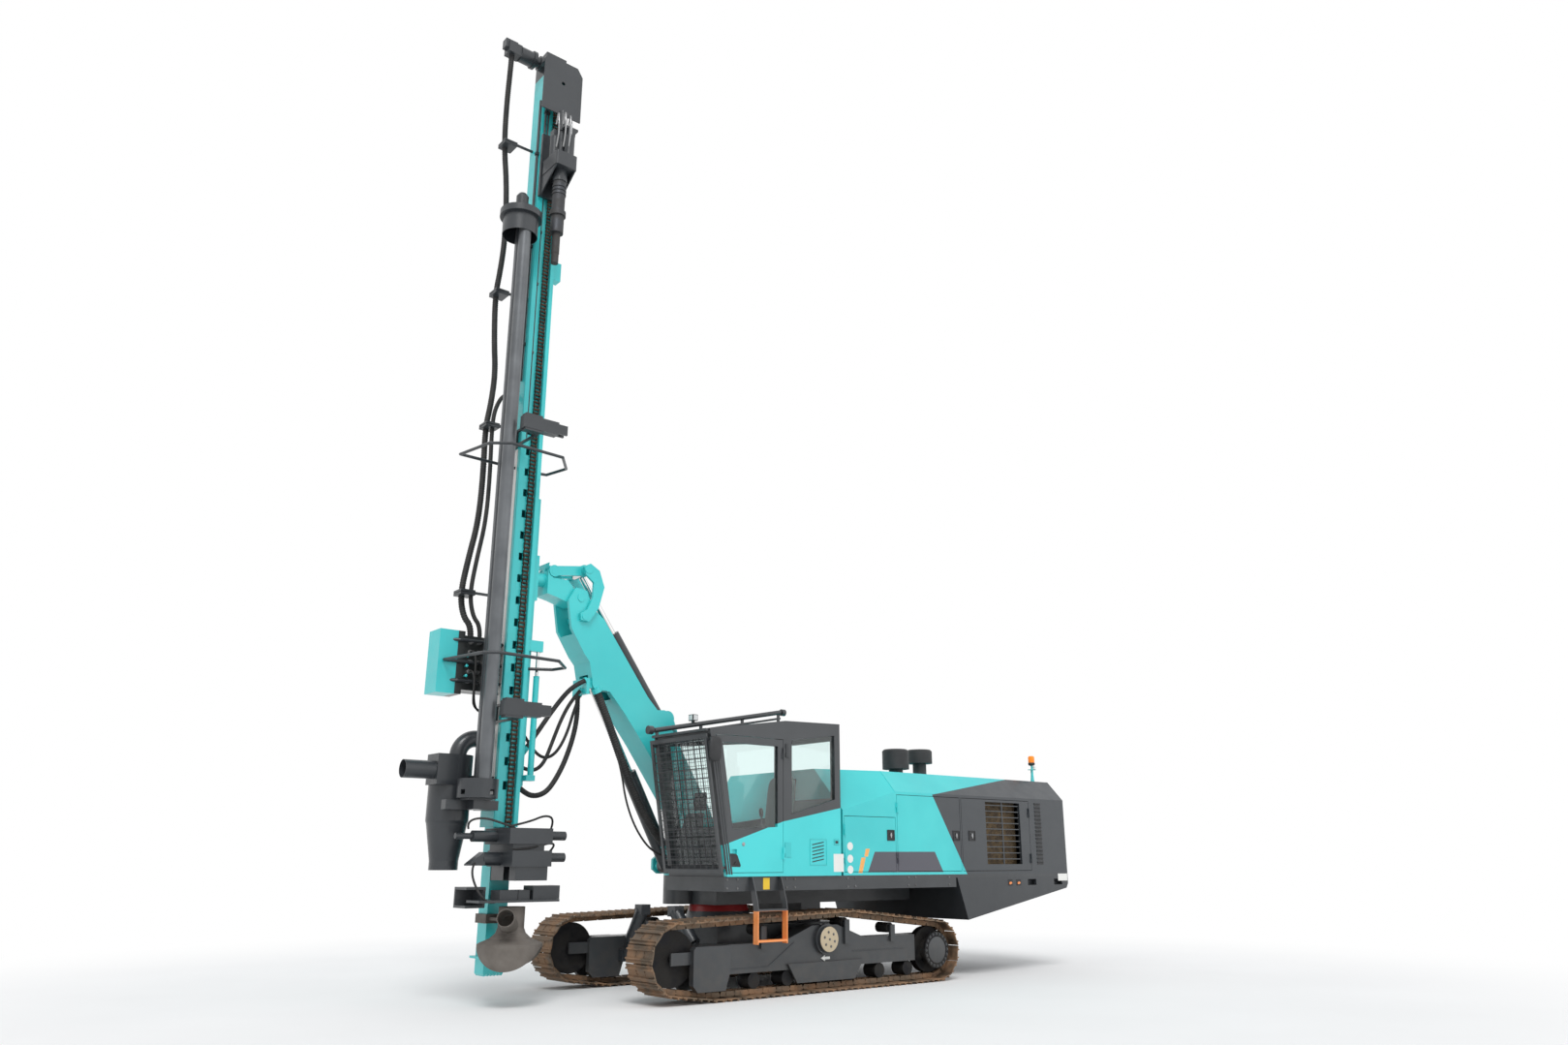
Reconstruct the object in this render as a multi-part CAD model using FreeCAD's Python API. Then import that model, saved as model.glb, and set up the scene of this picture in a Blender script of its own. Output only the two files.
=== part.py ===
import FreeCAD, Part
import math
import os

# Crawler-mounted mast drilling rig, with a folding boom, a chain-fed drill mast and a rod carousel.
# Millimetres. +X is forward (the mast's end), +Y is left (the cab's side), +Z is up.
# The origin is on the ground, on the centre plane, below the hubs of the track frames.

V = FreeCAD.Vector
X_AXIS = V(1, 0, 0)
Y_AXIS = V(0, 1, 0)
Z_AXIS = V(0, 0, 1)

# ---------------------------------------------------------------- clearances
RUN = 0.3           # running gap between pieces that seat on one another
PIN_GAP = 0.1       # radial gap of a pin in its eye
SEAM = 6.0          # gap round a door or a lid
HINGE_R = 11.0
HINGE_H = 60.0

# ---------------------------------------------------------------- crawler
TRACK_GAUGE = 2030.0
SHOE_WIDTH = 470.0
LINK_WIDTH = 190.0
SHOE_DEPTH = 40.0
GROUSER_COUNT = 104
GROUSER_H = 24.0
LINK_DEPTH = 48.0
SPROCKET_X = -1745.0
SPROCKET_Z = 355.0
SPROCKET_LOOP_R = 350.0
IDLER_X = 2035.0
IDLER_Z = 430.0
IDLER_LOOP_R = 365.0
REAR_BEND_X = -1430.0
FRONT_BEND_X = 1560.0
BEND_R = 130.0
CREST_X = -320.0
CREST_Z = 858.0
CREST_R = 110.0
HUB_Z = 543.0
HUB_DISC_R = 138.0
AXLE_R = 105.0
FRAME_WIDTH = 230.0
FRAME_BOTTOM_Z = 250.0
FORK_Y = 840.0
FRAME_TOP_Z = 540.0
FRAME_REAR_X = -1440.0
FRAME_FRONT_X = 1700.0
ROLLER_COUNT = 7
CARRIER_R = 58.0
CARRIER_XS = (-1050.0, -320.0, 900.0)

# ---------------------------------------------------------------- platform
DECK_Z = 1220.0
DECK_T = 40.0
DECK_HALF = 1200.0
DECK_FRONT_X = 1470.0
BAY_X = 430.0         # the boom's bay: right of the cab the deck ends here
BAY_Y = 130.0
DECK_REAR_X = -4430.0
BEAM_HALF = 430.0
BEAM_BOTTOM_Z = 905.0
BEAM_REAR_X = -2100.0
SKIRT_DEPTH = 150.0
SKIRT_T = 90.0
SKIRT_REAR_X = -2150.0
PEDESTAL_X = 650.0
PEDESTAL_Z = 700.0
PEDESTAL_TOP_R = 330.0
PEDESTAL_BOTTOM_R = 400.0
CARBODY_BOTTOM_Z = 400.0
CARBODY_HALF_X = 620.0
CARBODY_HALF_Y = 700.0
WEDGE_FRONT_X = -2173.0
WEDGE_LOW_X = -2353.0
WEDGE_LOW_Z = 676.0
WEDGE_REAR_Z = 1030.0
LADDER_XS = (720.0, 1118.0)
LADDER_T = 12.0
LADDER_TOP_Z = 1216.0
LADDER_LOW_Z = 540.0
LADDER_IN = 62.0
LADDER_OUT = 142.0

# ---------------------------------------------------------------- engine house
HOUSE_FRONT_X = -235.0
HOUSE_WALL = 40.0
HOUSE_SIDE_Z = 2190.0
HOUSE_TOP_Z = 2448.0
HOUSE_TOP_HALF = 960.0
DOOR_BOTTOM_Z = 1262.0
DOOR_TOP_Z = 2150.0
FRONT_DOOR_TOP_Z = 1880.0
DOOR_SPLITS = (-262.0, -1117.0, -2283.0, -3674.0)
GRILLE_X = (-2770.0, -3470.0)
GRILLE_Z = (1340.0, 2120.0)
BEACON_PLACE = (-4150.0, 920.0)
BEACON_POST = 200.0
BEACON_R = 45.0

# ---------------------------------------------------------------- cab
CAB_Y0 = 150.0
CAB_Y1 = 1225.0
CAB_REAR_X = -180.0
CAB_FOOT_X = 1456.0
CAB_BROW_X = 1716.0
CAB_BROW_Z = 2751.0
CAB_ROOF_BEND = (655.0, 2908.0)
CAB_ROOF_REAR_Z = 2930.0
CAB_WALL = 50.0
CAB_GLASS_T = 8.0
CAB_DOOR_REAR_X = 690.0
CAB_DOOR_BOTTOM_Z = 1262.0
CAB_DOOR_TOP_Z = 2690.0
CAB_HINGE_ZS = (1400.0, 2480.0)

# ---------------------------------------------------------------- boom and holder
BOOM_Y = -250.0
BOOM_HALF = 180.0
SWING_X = 1000.0
SWING_R = 215.0
BOOM_PIVOT = (800.0, 1800.0)
BOOM_PIN_R = 55.0
HOLDER_PIN = (2631.0, 4277.0)
LINK_LOW_PIN = (2593.0, 4056.0)
LINK_TOP_PIN = (2574.0, 4619.0)
HOLDER_TOP_PIN = (2961.0, 4555.0)
HEAD_PIN_R = 45.0
LINK_PIN_R = 38.0
TILT_BASE_PIN = (1386.0, 2997.0)
LIFT_LUG_PIN = (2337.0, 3330.0)
LIFT_BASE_PIN = (1215.0, 1330.0)
TILT_BARREL_R = 72.0
TILT_ROD_R = 38.0
TILT_BARREL_LENGTH = 1180.0
TILT_STROKE_IN = 622.0
LIFT_BARREL_R = 88.0
LIFT_ROD_R = 48.0
LIFT_BARREL_LENGTH = 1180.0
LIFT_STROKE_IN = 380.0
EYE_DRIFT = 45.0    # room round the lift rod's eye, which follows its pin only nearly
PUSH_INNER = 84.0
PUSH_OUTER = 128.0
SHAFT_Z = 4450.0
SHAFT_Y = -250.0
SHAFT_R = 45.0
SHAFT_BOSS_R = 78.0
CRADLE_X = 3150.0

# ---------------------------------------------------------------- mast
BEAM_X0 = 3240.0
BEAM_X1 = 3520.0
BEAM_Y0 = -390.0
BEAM_Y1 = -110.0
BEAM_WALL = 14.0
MAST_LOW_Z = 1720.0
MAST_TOP_Z = 11000.0
FOOT_X = (3255.0, 3475.0)
FOOT_Y = (-360.0, -160.0)
FOOT_Z = 262.0
FOOT_PLATE_Z = 452.0
DRILL_X = 3380.0
DRILL_Y = 190.0
ROD_R = 70.0
CAROUSEL_X = 3805.0
CAROUSEL_Y = 100.0
CAROUSEL_PITCH_R = 126.0
CAROUSEL_TOP_Z = 8860.0
CAROUSEL_BOTTOM_Z = 1990.0
CUP_R = 205.0
UPPER_HOOP_Z = 5680.0
LOWER_HOOP_Z = 3400.0
HOOP_R = 17.0
HOOP_Y = -127.0
VALVE_Y1 = -150.0
RING_R = 245.0
ARM_PIVOT = (3700.0, 430.0)
ARM_ZS = (2880.0, 6010.0)


# ---------------------------------------------------------------- shape helpers
def box(x0, x1, y0, y1, z0, z1):
    return Part.makeBox(x1 - x0, y1 - y0, z1 - z0, V(x0, y0, z0))


def cyl(base, axis, radius, length):
    return Part.makeCylinder(radius, length, V(*base), axis)


def rod(start, end, radius):
    start = V(*start)
    run = V(*end) - start
    return Part.makeCylinder(radius, run.Length, start, run)


def plate(points, axis, low, high):
    """A flat outline pulled along one axis. 2-D points are (x, z) for Y, (y, z) for X, (x, y) for Z."""
    places = {
        "X": lambda a, b: V(low, a, b),
        "Y": lambda a, b: V(a, low, b),
        "Z": lambda a, b: V(a, b, low),
    }
    ring = [places[axis](a, b) for a, b in points]
    face = Part.Face(Part.makePolygon(ring + ring[:1]))
    pulls = {"X": X_AXIS, "Y": Y_AXIS, "Z": Z_AXIS}
    return face.extrude(pulls[axis] * (high - low))


def join(*shapes):
    whole = shapes[0].fuse(list(shapes[1:])) if len(shapes) > 1 else shapes[0]
    return whole.removeSplitter()


def mirror_y(shape):
    return shape.mirror(V(0, 0, 0), Y_AXIS)


def slots_cut(shape, cutters):
    return shape.cut(list(cutters))


def write(node, *solids):
    shape = Part.makeCompound(list(solids)) if len(solids) > 1 else solids[0]
    shape.exportStep("parts/" + node + ".step")


# ---------------------------------------------------------------- crawler tracks
def knuckles(x, y_face, heights, door_side):
    """Hinge barrels outside a panel: one half turns with the door, the other stays on the body."""
    side = 1 if y_face > 0 else -1
    y = y_face + side * (HINGE_R + 0.5)
    turning = []
    fixed = []
    for z in heights:
        for solids, way, low in ((turning, door_side, z), (fixed, -door_side, z + HINGE_H + RUN)):
            barrel = cyl((x, y, low), Z_AXIS, HINGE_R, HINGE_H)
            leaf_y = sorted((y_face - side, y_face + side * 7))
            leaf_x = sorted((x + way * 4, x + way * 26))
            solids.append(join(barrel, box(leaf_x[0], leaf_x[1], leaf_y[0], leaf_y[1], low, low + HINGE_H)))
    return turning, fixed


def belt_face(circles):
    """The face inside a belt pulled round circles (x, z, r), listed counter-clockwise."""
    count = len(circles)
    normals = []
    for index in range(count):
        x0, z0, r0 = circles[index]
        x1, z1, r1 = circles[(index + 1) % count]
        length = math.hypot(x1 - x0, z1 - z0)
        along = ((x1 - x0) / length, (z1 - z0) / length)
        out = (along[1], -along[0])
        sine = (r0 - r1) / length
        cosine = math.sqrt(1 - sine * sine)
        normals.append((along[0] * sine + out[0] * cosine, along[1] * sine + out[1] * cosine))
    edges = []
    for index in range(count):
        x0, z0, r0 = circles[index]
        x1, z1, r1 = circles[(index + 1) % count]
        before = normals[index - 1]
        after = normals[index]
        start = V(x0 + r0 * before[0], 0, z0 + r0 * before[1])
        end = V(x0 + r0 * after[0], 0, z0 + r0 * after[1])
        turn0 = math.atan2(before[1], before[0])
        turn1 = math.atan2(after[1], after[0])
        while turn1 < turn0:
            turn1 += 2 * math.pi
        middle = (turn0 + turn1) / 2
        mid = V(x0 + r0 * math.cos(middle), 0, z0 + r0 * math.sin(middle))
        edges.append(Part.Arc(start, mid, end).toShape())
        leave = V(x1 + r1 * after[0], 0, z1 + r1 * after[1])
        edges.append(Part.LineSegment(end, leave).toShape())
    return Part.Face(Part.Wire(edges))


def loop_circles(inset):
    return [
        (SPROCKET_X, SPROCKET_Z, SPROCKET_LOOP_R - inset),
        (REAR_BEND_X, BEND_R, BEND_R - inset),
        (FRONT_BEND_X, BEND_R, BEND_R - inset),
        (IDLER_X, IDLER_Z, IDLER_LOOP_R - inset),
        (CREST_X, CREST_Z - CREST_R, CREST_R - inset),
    ]


def belt_solid(outset, inset, y_middle, width):
    outer = belt_face(loop_circles(outset)).extrude(Y_AXIS * width)
    inner = belt_face(loop_circles(inset)).extrude(Y_AXIS * width)
    ring = outer.cut(inner)
    ring.translate(V(0, y_middle - width / 2, 0))
    return ring


TRACK_Y = TRACK_GAUGE / 2
TRACK_DEPTH = SHOE_DEPTH + LINK_DEPTH


def grouser_outline():
    """The track's outer line in side view, with a ridge for each grouser bar."""
    steps = 12
    places = belt_face(loop_circles(0)).OuterWire.discretize(Number=GROUSER_COUNT * steps + 1)[:-1]
    heart = V((SPROCKET_X + IDLER_X) / 2, 0, SPROCKET_Z)
    points = []
    for bar in range(GROUSER_COUNT):
        for step, depth in ((0, GROUSER_H), (1, 0.0), (3, 0.0), (4, GROUSER_H)):
            index = bar * steps + step
            along = places[(index + 1) % len(places)] - places[index - 1]
            inward = V(-along.z, 0, along.x).normalize()
            if inward.dot(heart - places[index]) < 0:
                inward = inward * -1
            points.append(places[index] + inward * depth)
    return points


def track():
    points = grouser_outline()
    outer = Part.Face(Part.makePolygon(points + points[:1])).extrude(Y_AXIS * SHOE_WIDTH)
    inner = belt_face(loop_circles(SHOE_DEPTH)).extrude(Y_AXIS * SHOE_WIDTH)
    shoes = outer.cut(inner)
    shoes.translate(V(0, TRACK_Y - SHOE_WIDTH / 2, 0))
    links = belt_solid(SHOE_DEPTH - 1, TRACK_DEPTH, TRACK_Y, LINK_WIDTH)
    return join(shoes, links)


def inner_top_z(x):
    """Height of the track's inner face above x, on its upper run."""
    front = IDLER_Z + IDLER_LOOP_R
    rear = SPROCKET_Z + SPROCKET_LOOP_R
    if x > CREST_X:
        share = (x - CREST_X) / (IDLER_X - CREST_X)
        return CREST_Z + (front - CREST_Z) * share - TRACK_DEPTH
    share = (CREST_X - x) / (CREST_X - SPROCKET_X)
    return CREST_Z + (rear - CREST_Z) * share - TRACK_DEPTH


def track_wheels():
    half = LINK_WIDTH / 2
    sprocket = cyl((SPROCKET_X, TRACK_Y - 45, SPROCKET_Z), Y_AXIS, SPROCKET_LOOP_R - TRACK_DEPTH - RUN, 90)
    drive = cyl((SPROCKET_X, TRACK_Y - 200, SPROCKET_Z), Y_AXIS, 150, 360)
    cover = cyl((SPROCKET_X, TRACK_Y + 160, SPROCKET_Z), Y_AXIS, 205, 28)
    idler = cyl((IDLER_X, TRACK_Y - 60, IDLER_Z), Y_AXIS, IDLER_LOOP_R - TRACK_DEPTH - RUN, 120)
    idler_axle = cyl((IDLER_X, TRACK_Y - FRAME_WIDTH / 2 + RUN, IDLER_Z), Y_AXIS, 45, FRAME_WIDTH - 2 * RUN)
    solids = [join(sprocket, drive, cover), join(idler, idler_axle)]
    low = TRACK_DEPTH + RUN
    roller_r = (FRAME_BOTTOM_Z - RUN - low) / 2
    step = (FRONT_BEND_X - REAR_BEND_X - 200) / (ROLLER_COUNT - 1)
    for index in range(ROLLER_COUNT):
        x = REAR_BEND_X + 100 + step * index
        body = cyl((x, TRACK_Y - half, low + roller_r), Y_AXIS, roller_r, LINK_WIDTH)
        solids.append(body)
    for x in CARRIER_XS:
        z = inner_top_z(x) - CARRIER_R - 6
        body = cyl((x, TRACK_Y - half, z), Y_AXIS, CARRIER_R, LINK_WIDTH)
        pin = cyl((x, TRACK_Y + half, z), Y_AXIS, 30, 18 - RUN)
        solids.append(join(body, pin))
    return solids


def track_frame():
    y0 = TRACK_Y - FRAME_WIDTH / 2
    y1 = TRACK_Y + FRAME_WIDTH / 2
    beam = box(FRAME_REAR_X, FRAME_FRONT_X, y0, y1, FRAME_BOTTOM_Z, FRAME_TOP_Z)
    rise_points = [
        (-620, FRAME_TOP_Z - 5), (620, FRAME_TOP_Z - 5), (190, 690), (-190, 690),
    ]
    rise = plate(rise_points, "Y", y0, y1)
    hub = cyl((0, y1 - 5, HUB_Z), Y_AXIS, HUB_DISC_R + 25, 45)
    disc = cyl((0, y1 + 35, HUB_Z), Y_AXIS, HUB_DISC_R, 40)
    guard_points = [
        (-560, FRAME_BOTTOM_Z + 60), (560, FRAME_BOTTOM_Z + 60), (430, 110), (-430, 110),
    ]
    guard = plate(guard_points, "Y", y1, y1 + 30)
    frame = join(beam, rise, hub, disc, guard)
    # arms hold the idler's axle
    arm_points = [
        (1600, IDLER_Z - 60), (IDLER_X + 60, IDLER_Z - 60), (IDLER_X + 60, IDLER_Z + 60), (1600, IDLER_Z + 60),
    ]
    outer_arm = plate(arm_points, "Y", y1, y1 + 25)
    inner_arm = plate(arm_points, "Y", y0 - 25, y0)
    # a deep box at the front covers the idler's spring and its fork
    front_points = [
        (1380, 290), (1440, 105), (1790, 105), (1850, 170), (1850, FRAME_TOP_Z - 30), (1820, FRAME_TOP_Z),
        (1380, FRAME_TOP_Z),
    ]
    outer_box = plate(front_points, "Y", y1, y1 + 75)
    inner_box = plate(front_points, "Y", y0 - 60, y0)
    drive_points = [
        (FRAME_REAR_X + 200, FRAME_BOTTOM_Z), (FRAME_REAR_X + 200, FRAME_TOP_Z),
        (SPROCKET_X - 190, FRAME_TOP_Z), (SPROCKET_X - 190, FRAME_BOTTOM_Z),
    ]
    drive_plate = plate(drive_points, "Y", y0 - 25, y0)
    drive_hole = cyl((SPROCKET_X, y0 - 30, SPROCKET_Z), Y_AXIS, 150 + RUN, 40)
    drive_plate = drive_plate.cut(drive_hole)
    idler_room = cyl((IDLER_X, y0 - 1, IDLER_Z), Y_AXIS, IDLER_LOOP_R - TRACK_DEPTH + 12, FRAME_WIDTH + 2)
    sprocket_room = cyl((SPROCKET_X, y0 + 0.1, SPROCKET_Z), Y_AXIS, SPROCKET_LOOP_R - TRACK_DEPTH + 12, FRAME_WIDTH)
    frame = frame.cut([idler_room, sprocket_room])
    posts = []
    for x in CARRIER_XS:
        z = inner_top_z(x) - CARRIER_R - 6
        posts.append(box(x - 35, x + 35, TRACK_Y + LINK_WIDTH / 2 + 18, y1 + 30, FRAME_TOP_Z - 60, z + 35))
    rear_arm = box(SPROCKET_X + 180, FRAME_REAR_X + 20, y0 - 25, y0, FRAME_BOTTOM_Z, FRAME_TOP_Z)
    whole = join(frame, outer_arm, inner_arm, outer_box, inner_box, drive_plate, rear_arm, *posts)
    return whole


os.makedirs("parts", exist_ok=True)

track_left = track()
write("track_left", track_left)
write("track_right", mirror_y(track_left))
wheels_left = track_wheels()
write("track_wheels_left", *wheels_left)
write("track_wheels_right", *[mirror_y(solid) for solid in wheels_left])
frame_left = track_frame()
write("track_frame_left", frame_left)
write("track_frame_right", mirror_y(frame_left))


# ---------------------------------------------------------------- carbody and platform
def carbody():
    inner_y = TRACK_Y - FRAME_WIDTH / 2
    axle = cyl((0, -inner_y, HUB_Z), Y_AXIS, AXLE_R, 2 * inner_y)
    lower = box(-CARBODY_HALF_X, CARBODY_HALF_X + 560, -CARBODY_HALF_Y, CARBODY_HALF_Y, CARBODY_BOTTOM_Z, PEDESTAL_Z)
    cone = Part.makeCone(
        PEDESTAL_BOTTOM_R, PEDESTAL_TOP_R, BEAM_BOTTOM_Z - PEDESTAL_Z, V(PEDESTAL_X, 0, PEDESTAL_Z))
    saddle = box(-560, -260, -BEAM_HALF, BEAM_HALF, PEDESTAL_Z, BEAM_BOTTOM_Z)
    return join(axle, lower, cone, saddle)


def main_frame():
    """Spine, deck and skirts; right of the cab a bay in the deck leaves room for the boom."""
    spine = box(BEAM_REAR_X, SWING_X, -BEAM_HALF, BEAM_HALF, BEAM_BOTTOM_Z, DECK_Z - DECK_T)
    post_seat = cyl((SWING_X, BOOM_Y, BEAM_BOTTOM_Z), Z_AXIS, SWING_R, DECK_Z - BEAM_BOTTOM_Z)
    deck = box(DECK_REAR_X, BAY_X, -DECK_HALF, DECK_HALF, DECK_Z - DECK_T, DECK_Z)
    bay_floor = box(BAY_X, SWING_X, -BEAM_HALF, BAY_Y, DECK_Z - DECK_T, DECK_Z)
    cab_floor = box(BAY_X, DECK_FRONT_X, BAY_Y, DECK_HALF, DECK_Z - DECK_T, DECK_Z)
    skirt_z = (DECK_Z - SKIRT_DEPTH, DECK_Z - DECK_T)
    left_skirt = box(SKIRT_REAR_X, DECK_FRONT_X, DECK_HALF - SKIRT_T, DECK_HALF, *skirt_z)
    right_skirt = box(SKIRT_REAR_X, BAY_X, -DECK_HALF, SKIRT_T - DECK_HALF, *skirt_z)
    cab_nose = box(DECK_FRONT_X - 60, DECK_FRONT_X, BAY_Y, DECK_HALF, *skirt_z)
    cab_inner_skirt = box(SWING_X - 60, DECK_FRONT_X, BAY_Y, BAY_Y + 60, *skirt_z)
    right_nose = box(BAY_X - 60, BAY_X, -DECK_HALF, -BEAM_HALF, *skirt_z)
    return join(spine, post_seat, deck, bay_floor, cab_floor, left_skirt, right_skirt, cab_nose,
                cab_inner_skirt, right_nose)


def counterweight():
    top = DECK_Z - DECK_T
    points = [
        (WEDGE_FRONT_X, top), (WEDGE_LOW_X, WEDGE_LOW_Z), (DECK_REAR_X + 40, WEDGE_REAR_Z),
        (DECK_REAR_X, WEDGE_REAR_Z + 60), (DECK_REAR_X, top),
    ]
    block = plate(points, "Y", -DECK_HALF, DECK_HALF)
    cuts = []
    for x in (-3650, -4210):
        for y0 in (-DECK_HALF - 1, DECK_HALF - 69):
            cuts.append(box(x - 90, x + 90, y0, y0 + 70, 1075, 1150))
    return slots_cut(block, cuts)


write("carbody", carbody())
write("main_frame", main_frame())
write("counterweight", counterweight())


def side_cylinders():
    """The two cylinders that set the track frames' tilt, between the frame's nose and each track frame."""
    solids = []
    for side in (1, -1):
        top = (1480, side * 330, BEAM_BOTTOM_Z - 60)
        low = (1400, side * (FORK_Y - 40), 330)
        start = V(*top)
        run = V(*low) - start
        middle = start + run * 0.62
        barrel = rod(top, tuple(middle), 72)
        rod_part = rod(tuple(middle), low, 36)
        top_lug = box(top[0] - 60, top[0] + 60, side * 330 - 70, side * 330 + 70, BEAM_BOTTOM_Z - 110, BEAM_BOTTOM_Z)
        fork = side * (FORK_Y - RUN)
        near = side * (FORK_Y - 80)
        low_lug = box(low[0] - 60, low[0] + 60, min(near, fork), max(near, fork), 270, 390)
        solids.append(join(barrel, rod_part, top_lug, low_lug))
    return solids


def ladder():
    """Two side plates that reach out past the track, with two steps between them."""
    profile = [
        (0, LADDER_TOP_Z), (36, LADDER_TOP_Z), (62, 1150), (100, 1050), (133, 950), (LADDER_OUT, 880),
        (LADDER_OUT, LADDER_LOW_Z), (LADDER_IN, LADDER_LOW_Z), (LADDER_IN, 900), (35, 980), (15, 1070), (0, 1078),
    ]
    y0 = DECK_HALF + RUN
    solids = []
    for x in LADDER_XS:
        points = [V(x, y0 + out, z) for out, z in profile]
        solids.append(Part.Face(Part.makePolygon(points + points[:1])).extrude(V(LADDER_T, 0, 0)))
    for z in (868, 560):
        solids.append(box(LADDER_XS[0] + 1, LADDER_XS[1] + 1, y0 + LADDER_IN, y0 + LADDER_OUT, z, z + 22))
    return join(*solids)


write("side_cylinders", *side_cylinders())
write("ladder", ladder())


# ---------------------------------------------------------------- engine house
def house_outline(inset):
    side = DECK_HALF - inset
    top_half = HOUSE_TOP_HALF - inset * 0.55
    return [
        (-side, DECK_Z), (side, DECK_Z), (side, HOUSE_SIDE_Z - inset * 0.2),
        (top_half, HOUSE_TOP_Z - inset), (-top_half, HOUSE_TOP_Z - inset), (-side, HOUSE_SIDE_Z - inset * 0.2),
    ]


def door_spans():
    spans = []
    for index in range(3):
        front = DOOR_SPLITS[index] - (18 if index else 0)
        rear = DOOR_SPLITS[index + 1] + 18
        top = FRONT_DOOR_TOP_Z if index == 0 else DOOR_TOP_Z
        spans.append((rear, front, DOOR_BOTTOM_Z, top))
    return spans


def engine_house():
    outer = plate(house_outline(0), "X", DECK_REAR_X, HOUSE_FRONT_X)
    inner = plate(house_outline(HOUSE_WALL), "X", DECK_REAR_X + HOUSE_WALL, HOUSE_FRONT_X - HOUSE_WALL)
    # the front left corner falls away behind the cab
    slope_low = V(HOUSE_FRONT_X + 10, DECK_HALF + 10, 1934)
    slope_up = V(-1104, DECK_HALF + 10, 2172)
    slope_in = V(HOUSE_FRONT_X + 10, 640, HOUSE_TOP_Z + 60)
    slope_far = V(-1104, 900, HOUSE_TOP_Z + 60)
    corner = V(HOUSE_FRONT_X + 10, DECK_HALF + 10, HOUSE_TOP_Z + 60)
    corner_back = V(-1104, DECK_HALF + 10, HOUSE_TOP_Z + 60)
    front_tri = Part.makePolygon([slope_low, slope_in, corner, slope_low])
    back_tri = Part.makePolygon([slope_up, slope_far, corner_back, slope_up])
    wedge = Part.makeLoft([front_tri, back_tri], True, True)
    shell = outer.cut(wedge)
    shift = V(0, -HOUSE_WALL * 0.75, -HOUSE_WALL * 0.75)
    inner_wedge = wedge.copy()
    inner_wedge.translate(shift)
    inner = inner.cut(inner_wedge)
    shell = shell.cut(inner)
    cuts = []
    for rear, front, low, top in door_spans():
        sides = [DECK_HALF - HOUSE_WALL - 1]
        if front < DOOR_SPLITS[0]:
            sides.append(-DECK_HALF - 1)
        for y0 in sides:
            cuts.append(box(rear - SEAM, front + SEAM, y0, y0 + HOUSE_WALL + 2, low - SEAM, top + SEAM))
    shell = slots_cut(shell, cuts)
    hinges = []
    for index in range(3):
        fixed = house_hinge(index)[1]
        hinges += fixed
        if index:
            hinges += [mirror_y(solid) for solid in fixed]
    return join(shell, *hinges)


def house_hinge(index):
    """The front and middle doors hang at their front edge, the rear one at its rear edge."""
    rear, front, low, top = door_spans()[index]
    heights = (low + 90, top - 210)
    if index == 2:
        return knuckles(rear - SEAM / 2, DECK_HALF, heights, 1)
    return knuckles(front + SEAM / 2, DECK_HALF, heights, -1)


def house_door(index):
    rear, front, low, top = door_spans()[index]
    door = box(rear, front, DECK_HALF - HOUSE_WALL, DECK_HALF, low, top)
    if index == 2:
        opening = box(GRILLE_X[1], GRILLE_X[0], DECK_HALF - HOUSE_WALL - 1, DECK_HALF + 1, GRILLE_Z[0], GRILLE_Z[1])
        door = door.cut(opening)
        bars = []
        z = GRILLE_Z[0] + 60
        while z < GRILLE_Z[1] - 20:
            bars.append(box(GRILLE_X[1] - 1, GRILLE_X[0] + 1, DECK_HALF - 26, DECK_HALF - 14, z, z + 12))
            z += 75
        bars.append(box((GRILLE_X[0] + GRILLE_X[1]) / 2 - 10, (GRILLE_X[0] + GRILLE_X[1]) / 2 + 10,
                        DECK_HALF - 26, DECK_HALF - 14, GRILLE_Z[0] - 1, GRILLE_Z[1] + 1))
        door = join(door, *bars)
    turning = house_hinge(index)[0]
    return join(door, *turning)


write("engine_house", engine_house())
for place, door_name in enumerate(("front", "middle", "rear")):
    left_door = house_door(place)
    write("house_door_left_" + door_name, left_door)
    if place:
        write("house_door_right_" + door_name, mirror_y(left_door))

engine = box(-2250, -1150, -330, 330, DECK_Z, 2000)
compressor = box(-1100, -500, -380, 300, DECK_Z, 1850)
coupling = box(-1160, -1090, -120, 120, DECK_Z, 1500)
cooler_core = box(GRILLE_X[1] - 10, GRILLE_X[0] + 10, DECK_HALF - 240, DECK_HALF - 100, DECK_Z, GRILLE_Z[1] + 20)
write("engine_and_coolers", join(engine, compressor, coupling), cooler_core, mirror_y(cooler_core))


def air_intakes():
    """Two drums with air cleaners in them, on necks of two heights."""
    solids = []
    for x, y, drum_z, drum_h in ((-1695.0, 650.0, 2515.0, 250.0), (-2330.0, 470.0, 2630.0, 180.0)):
        neck = cyl((x, y, HOUSE_TOP_Z), Z_AXIS, 90, drum_z + 5 - HOUSE_TOP_Z)
        drum = cyl((x, y, drum_z), Z_AXIS, 172, drum_h - 20)
        lid = Part.makeCone(172, 150, 20, V(x, y, drum_z + drum_h - 20))
        solids.append(join(neck, drum, lid))
    return solids


write("air_intakes", *air_intakes())


def beacon():
    x, y = BEACON_PLACE
    post = box(x - 30, x + 30, y - 20, y + 20, HOUSE_TOP_Z, HOUSE_TOP_Z + BEACON_POST)
    foot = cyl((x, y, HOUSE_TOP_Z + BEACON_POST), Z_AXIS, BEACON_R + 5, 25)
    lens = cyl((x, y, HOUSE_TOP_Z + BEACON_POST + 25), Z_AXIS, BEACON_R, 95)
    dome = Part.makeSphere(BEACON_R, V(x, y, HOUSE_TOP_Z + BEACON_POST + 120))
    return join(post, foot, lens, dome)


write("beacon", beacon())


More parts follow.
